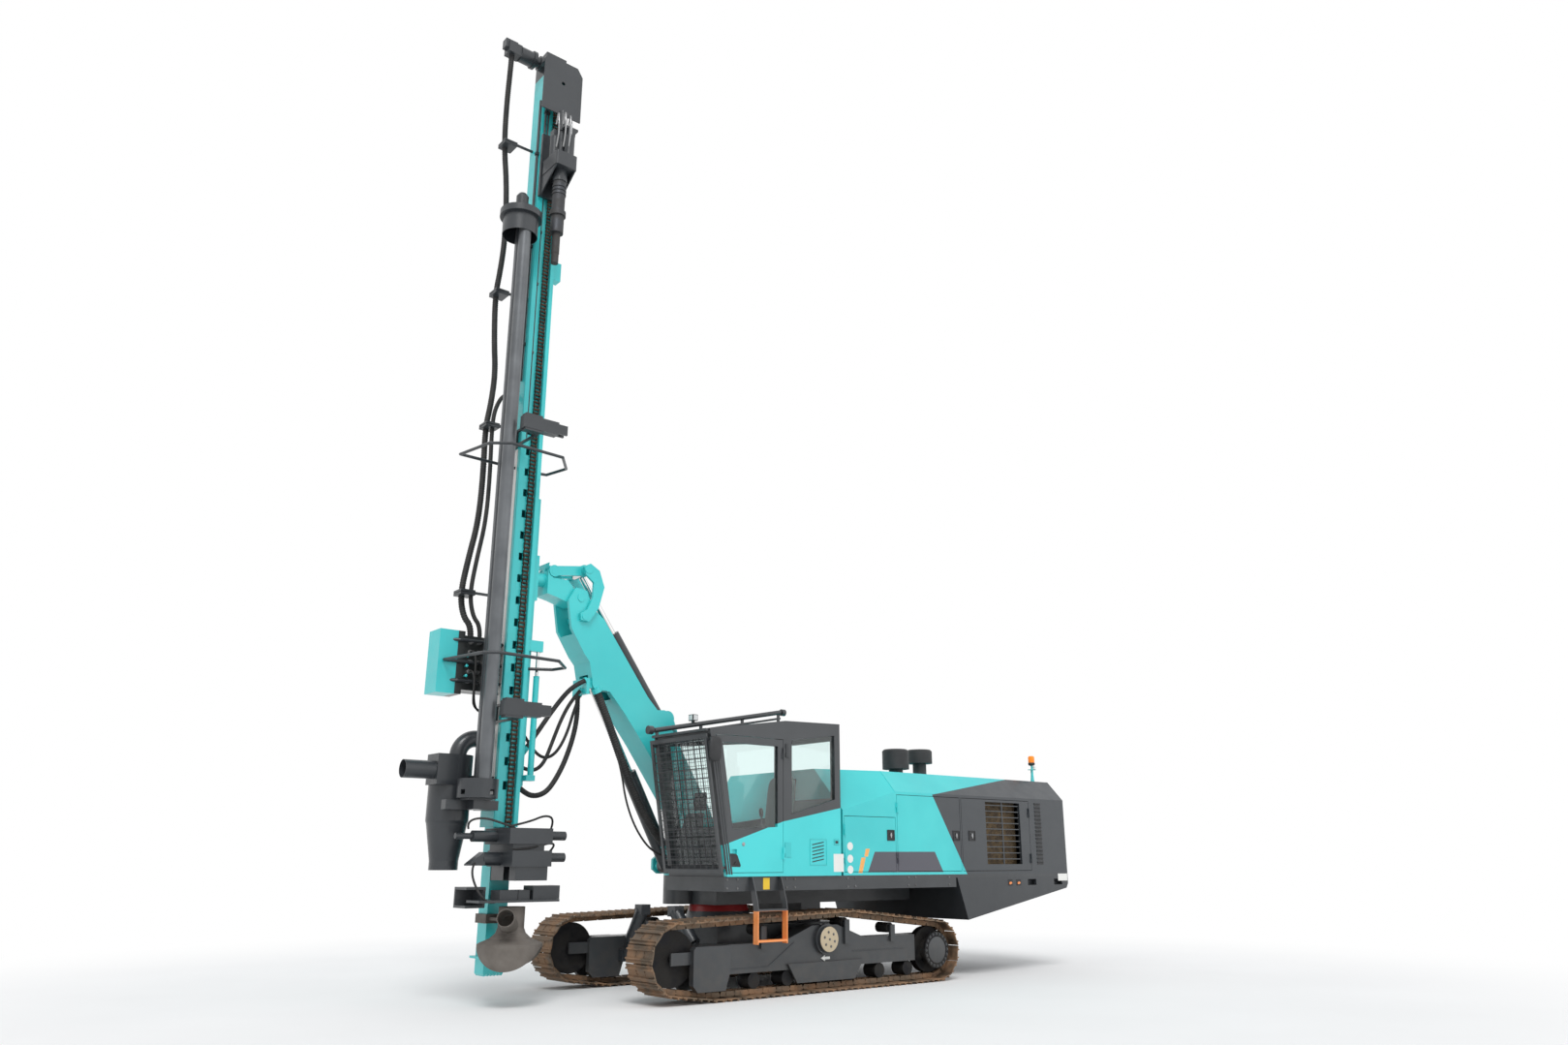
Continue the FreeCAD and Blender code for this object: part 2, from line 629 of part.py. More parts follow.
# ---------------------------------------------------------------- cab
def cab_side(inset):
    bend_x, bend_z = CAB_ROOF_BEND
    roof_rise = (bend_z - CAB_BROW_Z) / (CAB_BROW_X - bend_x)
    lean = (CAB_BROW_X - CAB_FOOT_X) / (CAB_BROW_Z - DECK_Z)
    return [
        (CAB_REAR_X + inset, DECK_Z + inset * 0.8), (CAB_FOOT_X - inset + lean * inset * 0.8, DECK_Z + inset * 0.8),
        (CAB_BROW_X - inset - lean * inset, CAB_BROW_Z - inset + roof_rise * inset),
        (bend_x, bend_z - inset), (CAB_REAR_X + inset, CAB_ROOF_REAR_Z - inset),
    ]


def front_x(z):
    return CAB_FOOT_X + (CAB_BROW_X - CAB_FOOT_X) * (z - DECK_Z) / (CAB_BROW_Z - DECK_Z)


def cab_door_points(grow):
    low = CAB_DOOR_BOTTOM_Z - grow
    top = CAB_DOOR_TOP_Z + grow
    return [
        (CAB_DOOR_REAR_X - grow, low), (front_x(low) - 75 + grow, low),
        (front_x(top) - 75 + grow, top), (CAB_DOOR_REAR_X - grow, top),
    ]


def door_window_points(grow):
    low = 1700 - grow
    top = CAB_DOOR_TOP_Z - 75 + grow
    return [
        (CAB_DOOR_REAR_X + 75 - grow, low + 40), (front_x(low) - 150 + grow, low),
        (front_x(top) - 150 + grow, top), (CAB_DOOR_REAR_X + 75 - grow, top),
    ]


REAR_WINDOW = [(-95, 2060), (560, 1880), (560, 2700), (-95, 2790)]
INNER_WINDOW = [(-60, 1900), (1340, 1700), (1530, 2640), (-60, 2780)]


def front_window(y0, y1, x_out, x_in):
    low = 1330
    top = 2640
    points = [
        (front_x(low) - x_out, low), (front_x(low) - x_in, low),
        (front_x(top) - x_in, top), (front_x(top) - x_out, top),
    ]
    return plate(points, "Y", y0, y1)


def cab_shell():
    shell = plate(cab_side(0), "Y", CAB_Y0, CAB_Y1)
    room = plate(cab_side(CAB_WALL), "Y", CAB_Y0 + CAB_WALL, CAB_Y1 - CAB_WALL)
    shell = shell.cut(room)
    side = CAB_Y1 - CAB_WALL - 1
    cuts = [
        plate(cab_door_points(SEAM), "Y", side, CAB_Y1 + 1),
        plate(REAR_WINDOW, "Y", side, CAB_Y1 + 1),
        plate(INNER_WINDOW, "Y", CAB_Y0 - 1, CAB_Y0 + CAB_WALL + 1),
        front_window(CAB_Y0 + 75, CAB_Y1 - 75, -60, 160),
        box(CAB_REAR_X - 1, CAB_REAR_X + CAB_WALL + 1, CAB_Y0 + 120, CAB_Y1 - 120, 2080, 2740),
    ]
    shell = slots_cut(shell, cuts)
    fixed = knuckles(CAB_DOOR_REAR_X - SEAM / 2, CAB_Y1, CAB_HINGE_ZS, 1)[1]
    return join(shell, *fixed)


def cab_glass():
    t = CAB_GLASS_T
    rear_quarter = plate(REAR_WINDOW, "Y", CAB_Y1 - 30, CAB_Y1 - 30 + t)
    inner_side = plate(INNER_WINDOW, "Y", CAB_Y0 + 22, CAB_Y0 + 22 + t)
    front = front_window(CAB_Y0 + 75, CAB_Y1 - 75, 26, 26 + t)
    rear = box(CAB_REAR_X + 20, CAB_REAR_X + 20 + t, CAB_Y0 + 120, CAB_Y1 - 120, 2080, 2740)
    return [rear_quarter, inner_side, front, rear]


def cab_door():
    leaf = plate(cab_door_points(0), "Y", CAB_Y1 - CAB_WALL, CAB_Y1)
    window = plate(door_window_points(0), "Y", CAB_Y1 - CAB_WALL - 1, CAB_Y1 + 1)
    recess = box(1330, 1400, CAB_Y1 - 22, CAB_Y1 + 1, 1360, 1500)
    leaf = leaf.cut([window, recess])
    turning = knuckles(CAB_DOOR_REAR_X - SEAM / 2, CAB_Y1, CAB_HINGE_ZS, 1)[0]
    return join(leaf, *turning)


def cab_door_glass():
    return plate(door_window_points(0), "Y", CAB_Y1 - 30, CAB_Y1 - 30 + CAB_GLASS_T)


def cab_seat():
    floor = DECK_Z + CAB_WALL * 0.8
    base = box(330, 700, 480, 860, floor, 1560)
    cushion = box(270, 790, 430, 910, 1560, 1690)
    back_points = [(270, 1660), (390, 1660), (300, 2330), (190, 2330)]
    back = plate(back_points, "Y", 430, 910)
    head = plate([(230, 2330), (300, 2330), (270, 2520), (210, 2520)], "Y", 540, 800)
    return join(base, cushion, back, head)


def cab_console():
    floor = DECK_Z + CAB_WALL * 0.8
    left = box(300, 900, 925, 1060, floor, 1780)
    right = box(300, 900, 280, 415, floor, 1780)
    dash = plate([(1290, floor), (1380, floor), (1400, 1700), (1300, 1900), (1250, 1900)], "Y", 260, 520)
    screen = box(1180, 1225, 270, 480, 1930, 2130)
    stalk = box(1200, 1290, 360, 400, 1860, 1960)
    return [left, right, join(dash, stalk, screen)]


def guard_point(z, out):
    return front_x(z) + out


def cab_guard():
    """The frame that stands before the windscreen, on four stubs, and carries the mesh."""
    gap = 45
    z0 = DECK_Z + 30
    z1 = CAB_BROW_Z - 60
    outer = plate([
        (guard_point(z0, gap), z0), (guard_point(z0, gap + 22), z0),
        (guard_point(z1, gap + 22), z1), (guard_point(z1, gap), z1),
    ], "Y", CAB_Y0, CAB_Y1)
    z2 = z0 + 45
    z3 = z1 - 45
    opening = plate([
        (guard_point(z2, gap - 5), z2), (guard_point(z2, gap + 30), z2),
        (guard_point(z3, gap + 30), z3), (guard_point(z3, gap - 5), z3),
    ], "Y", CAB_Y0 + 45, CAB_Y1 - 45)
    frame = outer.cut(opening)
    bars = []
    count = 9
    for index in range(1, count):
        y = CAB_Y0 + 45 + (CAB_Y1 - CAB_Y0 - 90) * index / count
        a = (guard_point(z2 - 10, gap + 11), y, z2 - 10)
        b = (guard_point(z3 + 10, gap + 11), y, z3 + 10)
        bars.append(rod(a, b, 5))
    rows = 13
    for index in range(1, rows):
        z = z2 + (z3 - z2) * index / rows
        bars.append(rod((guard_point(z, gap + 11), CAB_Y0 + 40, z), (guard_point(z, gap + 11), CAB_Y1 - 40, z), 5))
    stubs = []
    for y in (CAB_Y0 + 25, CAB_Y1 - 25):
        for z in (z0 + 60, z1 - 60):
            stubs.append(box(front_x(z) - 6, guard_point(z, gap + 2), y - 15, y + 15, z - 15, z + 15))
    frame = join(frame, *(bars + stubs))
    return frame.cut(plate(cab_side(0), "Y", CAB_Y0 - 5, CAB_Y1 + 5))


FRONT_LAMP_X = CAB_BROW_X + 54
REAR_LAMP_X = CAB_REAR_X + 34
SQUARE_LAMP_Z = 2958.0


def roof_guard():
    """A heavy rail that rises over the roof's right side, a lighter one under it, and a bar along the brow."""
    y = CAB_Y0 + 35
    front = V(CAB_BROW_X + 25, y, CAB_BROW_Z + 60)
    rear = V(CAB_REAR_X + 50, y, CAB_ROOF_REAR_Z + 235)
    lower = V(0, 0, -75)
    brow_z = front.z - 75
    pieces = [rod(front, rear, 28), rod(front + lower, rear + lower, 14)]
    pieces.append(box(front.x - 20, front.x + 20, y - 16, CAB_Y1 - 20, brow_z - 14, brow_z + 14))
    for share in (0.02, 0.35, 0.68, 0.985):
        top = front + (rear - front) * share
        pieces.append(box(top.x - 16, top.x + 16, y - 12, y + 12, CAB_BROW_Z - 60, top.z))
    for end_y in (y, CAB_Y1 - 40):
        pieces.append(box(CAB_BROW_X - 60, front.x, end_y - 12, end_y + 12, brow_z - 12, brow_z + 12))
    pieces.append(box(front.x - 10, FRONT_LAMP_X - RUN, y - 15, y + 15, front.z - 15, front.z + 15))
    pieces.append(box(REAR_LAMP_X + RUN, rear.x + 20, y - 12, y + 12, rear.z - 15, rear.z + 10))
    pieces.append(box(1185, 1215, y - 12, y + 12, 2890, SQUARE_LAMP_Z - RUN))
    frame = join(*pieces)
    return frame.cut(plate(cab_side(0), "Y", CAB_Y0 - 5, CAB_Y1 + 5))


def work_lamps():
    """Round lamps at both ends of the rail and a square one on it."""
    y = CAB_Y0 + 35
    front_lamp = cyl((FRONT_LAMP_X, y, CAB_BROW_Z + 60), X_AXIS, 48, 60)
    square_lamp = box(1165, 1235, y - 45, y + 45, SQUARE_LAMP_Z, SQUARE_LAMP_Z + 74)
    rear_lamp = cyl((REAR_LAMP_X, y, CAB_ROOF_REAR_Z + 235), V(-1, 0, 0), 42, 55)
    return [front_lamp, square_lamp, rear_lamp]


write("cab_shell", cab_shell())
write("cab_glass", *cab_glass())
write("cab_door", cab_door())
write("cab_door_glass", cab_door_glass())
write("cab_interior", cab_seat(), *cab_console())
write("cab_guards", cab_guard(), roof_guard(), *work_lamps())

# a service tank fills the front right of the deck
tank = box(HOUSE_FRONT_X + 60, BAY_X - 10, -DECK_HALF + 10, -720, DECK_Z, 1880)
write("service_tank", tank.makeFillet(30, tank.Edges))


# ---------------------------------------------------------------- boom swing post
def at(point, y):
    return (point[0], y, point[1])


def between(a, b, distance):
    length = math.hypot(b[0] - a[0], b[1] - a[1])
    return (a[0] + (b[0] - a[0]) * distance / length, a[1] + (b[1] - a[1]) * distance / length)


def eye_pin(point, radius, half):
    return cyl((point[0], BOOM_Y - half, point[1]), Y_AXIS, radius, 2 * half)


# ---------------------------------------------------------------- routes of the free hoses
# Each route starts and ends in a socket that belongs to the piece it is screwed into.
SOCKET_WALL = 6.0
UPPER_HOSES = {
    "hose_upper": (28.0, [
        (2508, -117, 3338), (2630, -119, 3275), (2747, -145, 3150), (2889, -190, 2930), (3010, -232, 2715),
        (3100, -262, 2570),
    ]),
    "hose_middle": (22.0, [
        (2518, -190, 3230), (2616, -192, 3118), (2722, -213, 2906), (2825, -235, 2590), (2880, -246, 2430),
        (2950, -260, 2345), (3040, -276, 2322), (3128, -290, 2354),
    ]),
    "hose_inner": (18.0, [
        (2486, -248, 3180), (2540, -250, 3040), (2610, -262, 2760), (2700, -285, 2560), (2800, -302, 2475),
        (2900, -312, 2480), (3005, -322, 2568), (3103, -330, 2702),
    ]),
    "hose_lower": (30.0, [
        (2476, -312, 3182), (2462, -312, 3010), (2492, -318, 2750), (2585, -325, 2450), (2690, -331, 2240),
        (2785, -336, 2112), (2900, -341, 2060), (3020, -346, 2072), (3112, -350, 2142),
    ]),
}
LIFT_HOSES = {
    "hose_bundle": (48.0, [
        (2345, -95, 3212), (2216, -92, 2959), (2045, -90, 2590), (1893, -90, 2273), (1716, -90, 1960),
        (1520, -90, 1700), (1372, -88, 1560),
    ]),
    "hose_thin": (12.0, [
        (2098, -31, 2560), (2030, -10, 2330), (1975, 0, 2040), (1850, 0, 1764), (1680, 0, 1552),
        (1530, -5, 1462), (1380, -20, 1420),
    ]),
}


def socket(points, radius, length, at_end):
    """Ferrule that the hose's end stands against, in line with its last run."""
    end = V(*(points[-1] if at_end else points[0]))
    inner = V(*(points[-2] if at_end else points[1]))
    away = (end - inner).normalize()
    foot = end + away * RUN
    return cyl(foot, away, radius + SOCKET_WALL, length)


def swing_post():
    turntable = cyl((SWING_X, BOOM_Y, DECK_Z + RUN), Z_AXIS, SWING_R, 20)
    cheek_points = [
        (SWING_X - 300, DECK_Z + 18), (SWING_X + 215, DECK_Z + 18), (SWING_X + 285, 1290), (SWING_X + 285, 1400),
        (SWING_X + 150, 1500), (BOOM_PIVOT[0] + 110, 1880), (BOOM_PIVOT[0] - 110, 1880), (SWING_X - 300, 1700),
    ]
    cheeks = []
    for y0 in (BOOM_Y - BOOM_HALF - 50, BOOM_Y + BOOM_HALF + 10):
        cheeks.append(plate(cheek_points, "Y", y0, y0 + 40))
    back = box(SWING_X - 300, SWING_X - 260, BOOM_Y - BOOM_HALF - 50, BOOM_Y + BOOM_HALF + 50, DECK_Z + 18, 1560)
    pivot = eye_pin(BOOM_PIVOT, BOOM_PIN_R, BOOM_HALF + 60)
    lift_pin = eye_pin(LIFT_BASE_PIN, 45, BOOM_HALF + 60)
    radius, points = LIFT_HOSES["hose_bundle"]
    ferrule = socket(points, radius, 200, True)
    thin_radius, thin_points = LIFT_HOSES["hose_thin"]
    thin_ferrule = socket(thin_points, thin_radius, 140, True)
    return join(turntable, back, pivot, lift_pin, ferrule, thin_ferrule, *cheeks)


def boom():
    pivot_x, pivot_z = BOOM_PIVOT
    angle = math.atan2(LINK_LOW_PIN[1] - pivot_z, LINK_LOW_PIN[0] - pivot_x)
    outline = [
        (pivot_x - 130, pivot_z - 60), (pivot_x + 40, pivot_z - 150), (pivot_x + 230, pivot_z - 60),
        (1706, 2661), (1985, 3006), (2555, 3640), (2735, 3914), (2790, 4230), (2700, 4390), (2560, 4370),
        (2470, 4180), (2311, 4060), (1675, 3222), (1322, 2870), (pivot_x - 60, pivot_z + 160),
    ]
    body = plate(outline, "Y", BOOM_Y - BOOM_HALF, BOOM_Y + BOOM_HALF)
    slot = plate([(2440, 3960), (2560, 3830), (2950, 3900), (2950, 4600), (2380, 4600), (2380, 4060)], "Y",
                 BOOM_Y - BOOM_HALF + 45, BOOM_Y + BOOM_HALF - 45)
    tilt_slot = plate([(1290, 2830), (1450, 2900), (2500, 4100), (2380, 4500), (1250, 3200)], "Y",
                      BOOM_Y - TILT_BARREL_R - 12, BOOM_Y + TILT_BARREL_R + 12)
    lift_lug = plate([(2130, 3230), (2290, 3250), (2420, 3300), (2480, 3560), (2200, 3400)], "Y",
                     BOOM_Y - BOOM_HALF, BOOM_Y + BOOM_HALF)
    lug_round = cyl(at(LIFT_LUG_PIN, BOOM_Y - BOOM_HALF), Y_AXIS, 95, 2 * BOOM_HALF)
    tilt_lug = plate([(1240, 2840), (1330, 3060), (1440, 3090), (1560, 3080)], "Y",
                     BOOM_Y - BOOM_HALF, BOOM_Y + BOOM_HALF)
    tilt_round = cyl(at(TILT_BASE_PIN, BOOM_Y - BOOM_HALF), Y_AXIS, 90, 2 * BOOM_HALF)
    whole = join(body, lift_lug, lug_round, tilt_lug, tilt_round)
    lift_gap = plate([(1900, 3200), (2560, 3100), (2440, 3440), (2200, 3440), (2120, 3350)], "Y",
                     BOOM_Y - LIFT_BARREL_R - 6, BOOM_Y + LIFT_BARREL_R + 6)
    eye_room = cyl(at(LIFT_LUG_PIN, BOOM_Y - LIFT_BARREL_R - 6), Y_AXIS, 74 + EYE_DRIFT, 2 * LIFT_BARREL_R + 12)
    lift_gap = join(lift_gap, eye_room)
    tilt_gap = cyl(at(TILT_BASE_PIN, BOOM_Y - TILT_BARREL_R - 12), Y_AXIS, 105, 2 * TILT_BARREL_R + 24)
    pivot_bore = eye_pin(BOOM_PIVOT, BOOM_PIN_R + PIN_GAP, BOOM_HALF + 1)
    holder_bore = eye_pin(HOLDER_PIN, HEAD_PIN_R + PIN_GAP, BOOM_HALF + 1)
    link_bore = eye_pin(LINK_LOW_PIN, LINK_PIN_R + PIN_GAP, BOOM_HALF + 1)
    whole = whole.cut([slot, tilt_slot, lift_gap, tilt_gap, pivot_bore, holder_bore, link_bore])
    tilt_pin = eye_pin(TILT_BASE_PIN, 36, BOOM_HALF)
    block_x = LIFT_LUG_PIN[0] + 74 + EYE_DRIFT
    hose_block = box(block_x, block_x + 38, BOOM_Y - 150, BOOM_Y + 166, 3190, 3372)
    for side in (BOOM_Y - 150, BOOM_Y + LIFT_BARREL_R + 8):
        hose_block = join(hose_block, box(LIFT_LUG_PIN[0] + 81, block_x + 1, side, side + 54, 3262, 3372))
    ferrules = [socket(points, radius, 30, False) for radius, points in UPPER_HOSES.values()]
    bundle_radius, bundle_points = LIFT_HOSES["hose_bundle"]
    ferrules.append(socket(bundle_points, bundle_radius, 60, False))
    return join(whole, tilt_pin, hose_block, *ferrules)


def cylinder_pair(base, tip, barrel_r, rod_r, barrel_length, base_pin_r, tip_pin_r, tip_half, stroke_in):
    """Barrel and rod of a cylinder, with an eye at each end; the rod can still go in by stroke_in."""
    start = at(base, BOOM_Y)
    barrel_end = at(between(base, tip, barrel_length), BOOM_Y)
    barrel = rod(start, barrel_end, barrel_r)
    half = barrel_r + 4
    eye = cyl(at(base, BOOM_Y - half), Y_AXIS, base_pin_r + 38, 2 * half)
    barrel = join(barrel, eye)
    bore = cyl(at(base, BOOM_Y - half - 1), Y_AXIS, base_pin_r + PIN_GAP, 2 * half + 2)
    bore_start = base_pin_r + 45
    inside = between(base, tip, bore_start)
    shaft_bore = rod(at(inside, BOOM_Y), at(between(base, tip, barrel_length + 5), BOOM_Y), rod_r + PIN_GAP)
    barrel = barrel.cut([bore, shaft_bore])
    rod_start = between(base, tip, bore_start + stroke_in + 12)
    shaft = rod(at(rod_start, BOOM_Y), at(tip, BOOM_Y), rod_r)
    tip_eye = cyl(at(tip, BOOM_Y - tip_half), Y_AXIS, tip_pin_r + 34, 2 * tip_half)
    tip_bore = cyl(at(tip, BOOM_Y - tip_half - 1), Y_AXIS, tip_pin_r + PIN_GAP, 2 * tip_half + 2)
    shaft = join(shaft, tip_eye).cut(tip_bore)
    return barrel, shaft


def rocker_link():
    """The two curved plates that the tilt cylinder pushes, one on each side of the boom's head."""
    outline = [
        (LINK_LOW_PIN[0] + 50, LINK_LOW_PIN[1] - 45), (LINK_LOW_PIN[0] - 60, LINK_LOW_PIN[1] - 50),
        (2420, 4180), (2356, 4433), (2430, 4620), (LINK_TOP_PIN[0] - 20, LINK_TOP_PIN[1] + 70),
        (LINK_TOP_PIN[0] + 65, LINK_TOP_PIN[1] + 20), (LINK_TOP_PIN[0] + 30, LINK_TOP_PIN[1] - 70),
        (2500, 4470), (2505, 4290), (2560, 4150), (LINK_LOW_PIN[0] + 60, LINK_LOW_PIN[1] + 30),
    ]
    plates = []
    for y0 in (BOOM_Y - BOOM_HALF - 10 - 34, BOOM_Y + BOOM_HALF + 10):
        plates.append(plate(outline, "Y", y0, y0 + 34))
    low_pin = eye_pin(LINK_LOW_PIN, LINK_PIN_R, BOOM_HALF + 50)
    # the open joint: short stubs stop beside the push bars, so nothing runs through the rod's eye
    stubs = []
    for side in (1, -1):
        near = BOOM_Y + side * (PUSH_OUTER + RUN)
        far = BOOM_Y + side * (BOOM_HALF + 50)
        stubs.append(rod(at(LINK_TOP_PIN, near), at(LINK_TOP_PIN, far), LINK_PIN_R + 14))
    return join(low_pin, *plates, *stubs)


def push_link():
    """From the rocker's top pin to the holder's upper pin."""
    solids = []
    for y0 in (BOOM_Y - PUSH_OUTER, BOOM_Y + PUSH_INNER):
        bar = plate([
            (LINK_TOP_PIN[0] - 10, LINK_TOP_PIN[1] + 55), (LINK_TOP_PIN[0] - 20, LINK_TOP_PIN[1] - 55),
            (HOLDER_TOP_PIN[0] + 5, HOLDER_TOP_PIN[1] - 55), (HOLDER_TOP_PIN[0] + 15, HOLDER_TOP_PIN[1] + 55),
        ], "Y", y0, y0 + PUSH_OUTER - PUSH_INNER)
        ring_a = cyl(at(LINK_TOP_PIN, y0), Y_AXIS, 68, PUSH_OUTER - PUSH_INNER)
        ring_b = cyl(at(HOLDER_TOP_PIN, y0), Y_AXIS, 68, PUSH_OUTER - PUSH_INNER)
        bore_b = cyl(at(HOLDER_TOP_PIN, y0 - 1), Y_AXIS, LINK_PIN_R + PIN_GAP, 46)
        solids.append(join(bar, ring_a, ring_b).cut(bore_b))
    return solids


def holder():
    """Turns on the boom's head pin and carries the shaft that the mast swings on."""
    half = BOOM_HALF - 45 - 6
    ear_points = [
        (HOLDER_PIN[0] - 75, HOLDER_PIN[1] - 60), (HOLDER_PIN[0] + 60, HOLDER_PIN[1] - 90),
        (2900, 4250), (CRADLE_X - 110, 4280), (CRADLE_X - 110, 4640), (HOLDER_TOP_PIN[0] - 60, HOLDER_TOP_PIN[1] + 75),
        (HOLDER_TOP_PIN[0] - 90, HOLDER_TOP_PIN[1] + 10), (2700, 4380), (HOLDER_PIN[0] - 40, HOLDER_PIN[1] + 70),
    ]
    body = plate(ear_points, "Y", BOOM_Y - half, BOOM_Y + half)
    gap = plate([
        (HOLDER_TOP_PIN[0] - 200, HOLDER_TOP_PIN[1] - 84), (HOLDER_TOP_PIN[0] + 15, HOLDER_TOP_PIN[1] - 84),
        (HOLDER_TOP_PIN[0] + 84, HOLDER_TOP_PIN[1]), (HOLDER_TOP_PIN[0] + 60, HOLDER_TOP_PIN[1] + 140),
        (HOLDER_TOP_PIN[0] - 200, HOLDER_TOP_PIN[1] + 140),
    ], "Y", BOOM_Y - half - 1, BOOM_Y + half + 1)
    gap = join(gap, eye_pin(HOLDER_TOP_PIN, 78, half + 1))
    centre_keep = 30
    side_cut_a = gap.common(box(2000, 4000, BOOM_Y - half - 1, BOOM_Y - centre_keep, 3000, 6000))
    side_cut_b = gap.common(box(2000, 4000, BOOM_Y + centre_keep, BOOM_Y + half + 1, 3000, 6000))
    body = body.cut([side_cut_a, side_cut_b])
    flange = cyl((CRADLE_X - 112, SHAFT_Y, SHAFT_Z), X_AXIS, SHAFT_BOSS_R, 60)
    shaft = cyl((CRADLE_X - 60, SHAFT_Y, SHAFT_Z), X_AXIS, SHAFT_R, 110)
    main_pin = eye_pin(HOLDER_PIN, HEAD_PIN_R, BOOM_HALF + 8)
    top_pin = eye_pin(HOLDER_TOP_PIN, LINK_PIN_R, half)
    return join(body, flange, shaft, main_pin, top_pin)


write("swing_post", swing_post())
write("boom", boom())
tilt_barrel, tilt_rod = cylinder_pair(
    TILT_BASE_PIN, LINK_TOP_PIN, TILT_BARREL_R, TILT_ROD_R, TILT_BARREL_LENGTH, 36, LINK_PIN_R, PUSH_INNER - RUN,
    TILT_STROKE_IN)
lift_barrel, lift_rod = cylinder_pair(
    LIFT_BASE_PIN, LIFT_LUG_PIN, LIFT_BARREL_R, LIFT_ROD_R, LIFT_BARREL_LENGTH, 45, 40, LIFT_BARREL_R + 6 - RUN,
    LIFT_STROKE_IN)
write("tilt_cylinder_barrel", tilt_barrel)
write("tilt_cylinder_rod", tilt_rod)
write("lift_cylinder_barrel", lift_barrel)
write("lift_cylinder_rod", lift_rod)
write("rocker_link", rocker_link())
write("push_link", *push_link())
write("holder", holder())


# ---------------------------------------------------------------- mast cradle and slide cylinder
CRADLE_Z0 = 2150.0
CRADLE_Z1 = 5380.0
CRADLE_Y = (-400.0, -172.0)
SPINE_X = (3165.0, 3222.0)
SLIDE_X = 3105.0
SLIDE_Y = -130.0
SLIDE_BARREL_R = 33.0
SLIDE_ROD_R = 18.0
SLIDE_LOW_Z = 2262.0
SLIDE_HIGH_Z = 3330.0
SLIDE_CLEVIS_Z = 3670.0


def cradle():
    """Swings on the holder's shaft, clasps the mast's back with sliding shoes and carries the slide cylinder."""
    spine = box(SPINE_X[0], SPINE_X[1], CRADLE_Y[0], CRADLE_Y[1], CRADLE_Z0, CRADLE_Z1)
    boss_x = CRADLE_X - 52 + RUN
    boss = cyl((boss_x, SHAFT_Y, SHAFT_Z), X_AXIS, SHAFT_BOSS_R, SPINE_X[0] + 5 - boss_x)
    web = box(SPINE_X[0] - 30, SPINE_X[0] + 5, CRADLE_Y[0], CRADLE_Y[1], SHAFT_Z - 260, SHAFT_Z + 260)
    bore = cyl((boss_x - 1, SHAFT_Y, SHAFT_Z), X_AXIS, SHAFT_R + PIN_GAP, SPINE_X[1] + 2 - boss_x)
    shoes = []
    for z in (CRADLE_Z0 + 60, 3300.0, 4400.0, CRADLE_Z1 - 300):
        shoes.append(box(SPINE_X[1] - 5, BEAM_X0 - RUN, BEAM_Y0 - 60, CRADLE_Y[1], z, z + 240))
        shoes.append(box(SPINE_X[1] - 5, BEAM_X0 + 60, BEAM_Y0 - 60, BEAM_Y0 - RUN, z, z + 240))
    lug = box(SLIDE_X - 38, SPINE_X[0] + 5, CRADLE_Y[1] - 30, SLIDE_Y + 38, SLIDE_LOW_Z - 60, SLIDE_LOW_Z)
    barrel = cyl((SLIDE_X, SLIDE_Y, SLIDE_LOW_Z - 5), Z_AXIS, SLIDE_BARREL_R, SLIDE_HIGH_Z - SLIDE_LOW_Z + 5)
    barrel_bore = cyl((SLIDE_X, SLIDE_Y, SLIDE_LOW_Z + 3), Z_AXIS, SLIDE_ROD_R + PIN_GAP, SLIDE_HIGH_Z - SLIDE_LOW_Z)
    ferrules = [socket(points, radius, 150, True) for radius, points in UPPER_HOSES.values()]
    ferrules = [ferrule.cut(box(SPINE_X[1], 4000, -900, 900, 1500, 3000)) for ferrule in ferrules]
    body = join(spine, boss, web, lug, barrel, *shoes, *ferrules)
    return body.cut([bore, barrel_bore])


def slide_cylinder_rod():
    return cyl((SLIDE_X, SLIDE_Y, SLIDE_LOW_Z + 260), Z_AXIS, SLIDE_ROD_R, SLIDE_CLEVIS_Z - 70 - SLIDE_LOW_Z - 260)


write("cradle", cradle())
write("slide_cylinder_rod", slide_cylinder_rod())


# ---------------------------------------------------------------- drill mast
RAIL_H = 34.0
REAR_RAIL = (BEAM_X0, BEAM_X0 + 52.0)
FRONT_RAIL = (BEAM_X1 - 62.0, BEAM_X1)
SLOT_PITCH = 250.0
SLOT_COUNT = 17
CHAIN_X = 3345.0
CHAIN_W = 44.0
CHAIN_D = 20.0
CHAIN_PITCH = 70.0
CHAIN_WAIST = 8.0
STRIP_T = 6.0


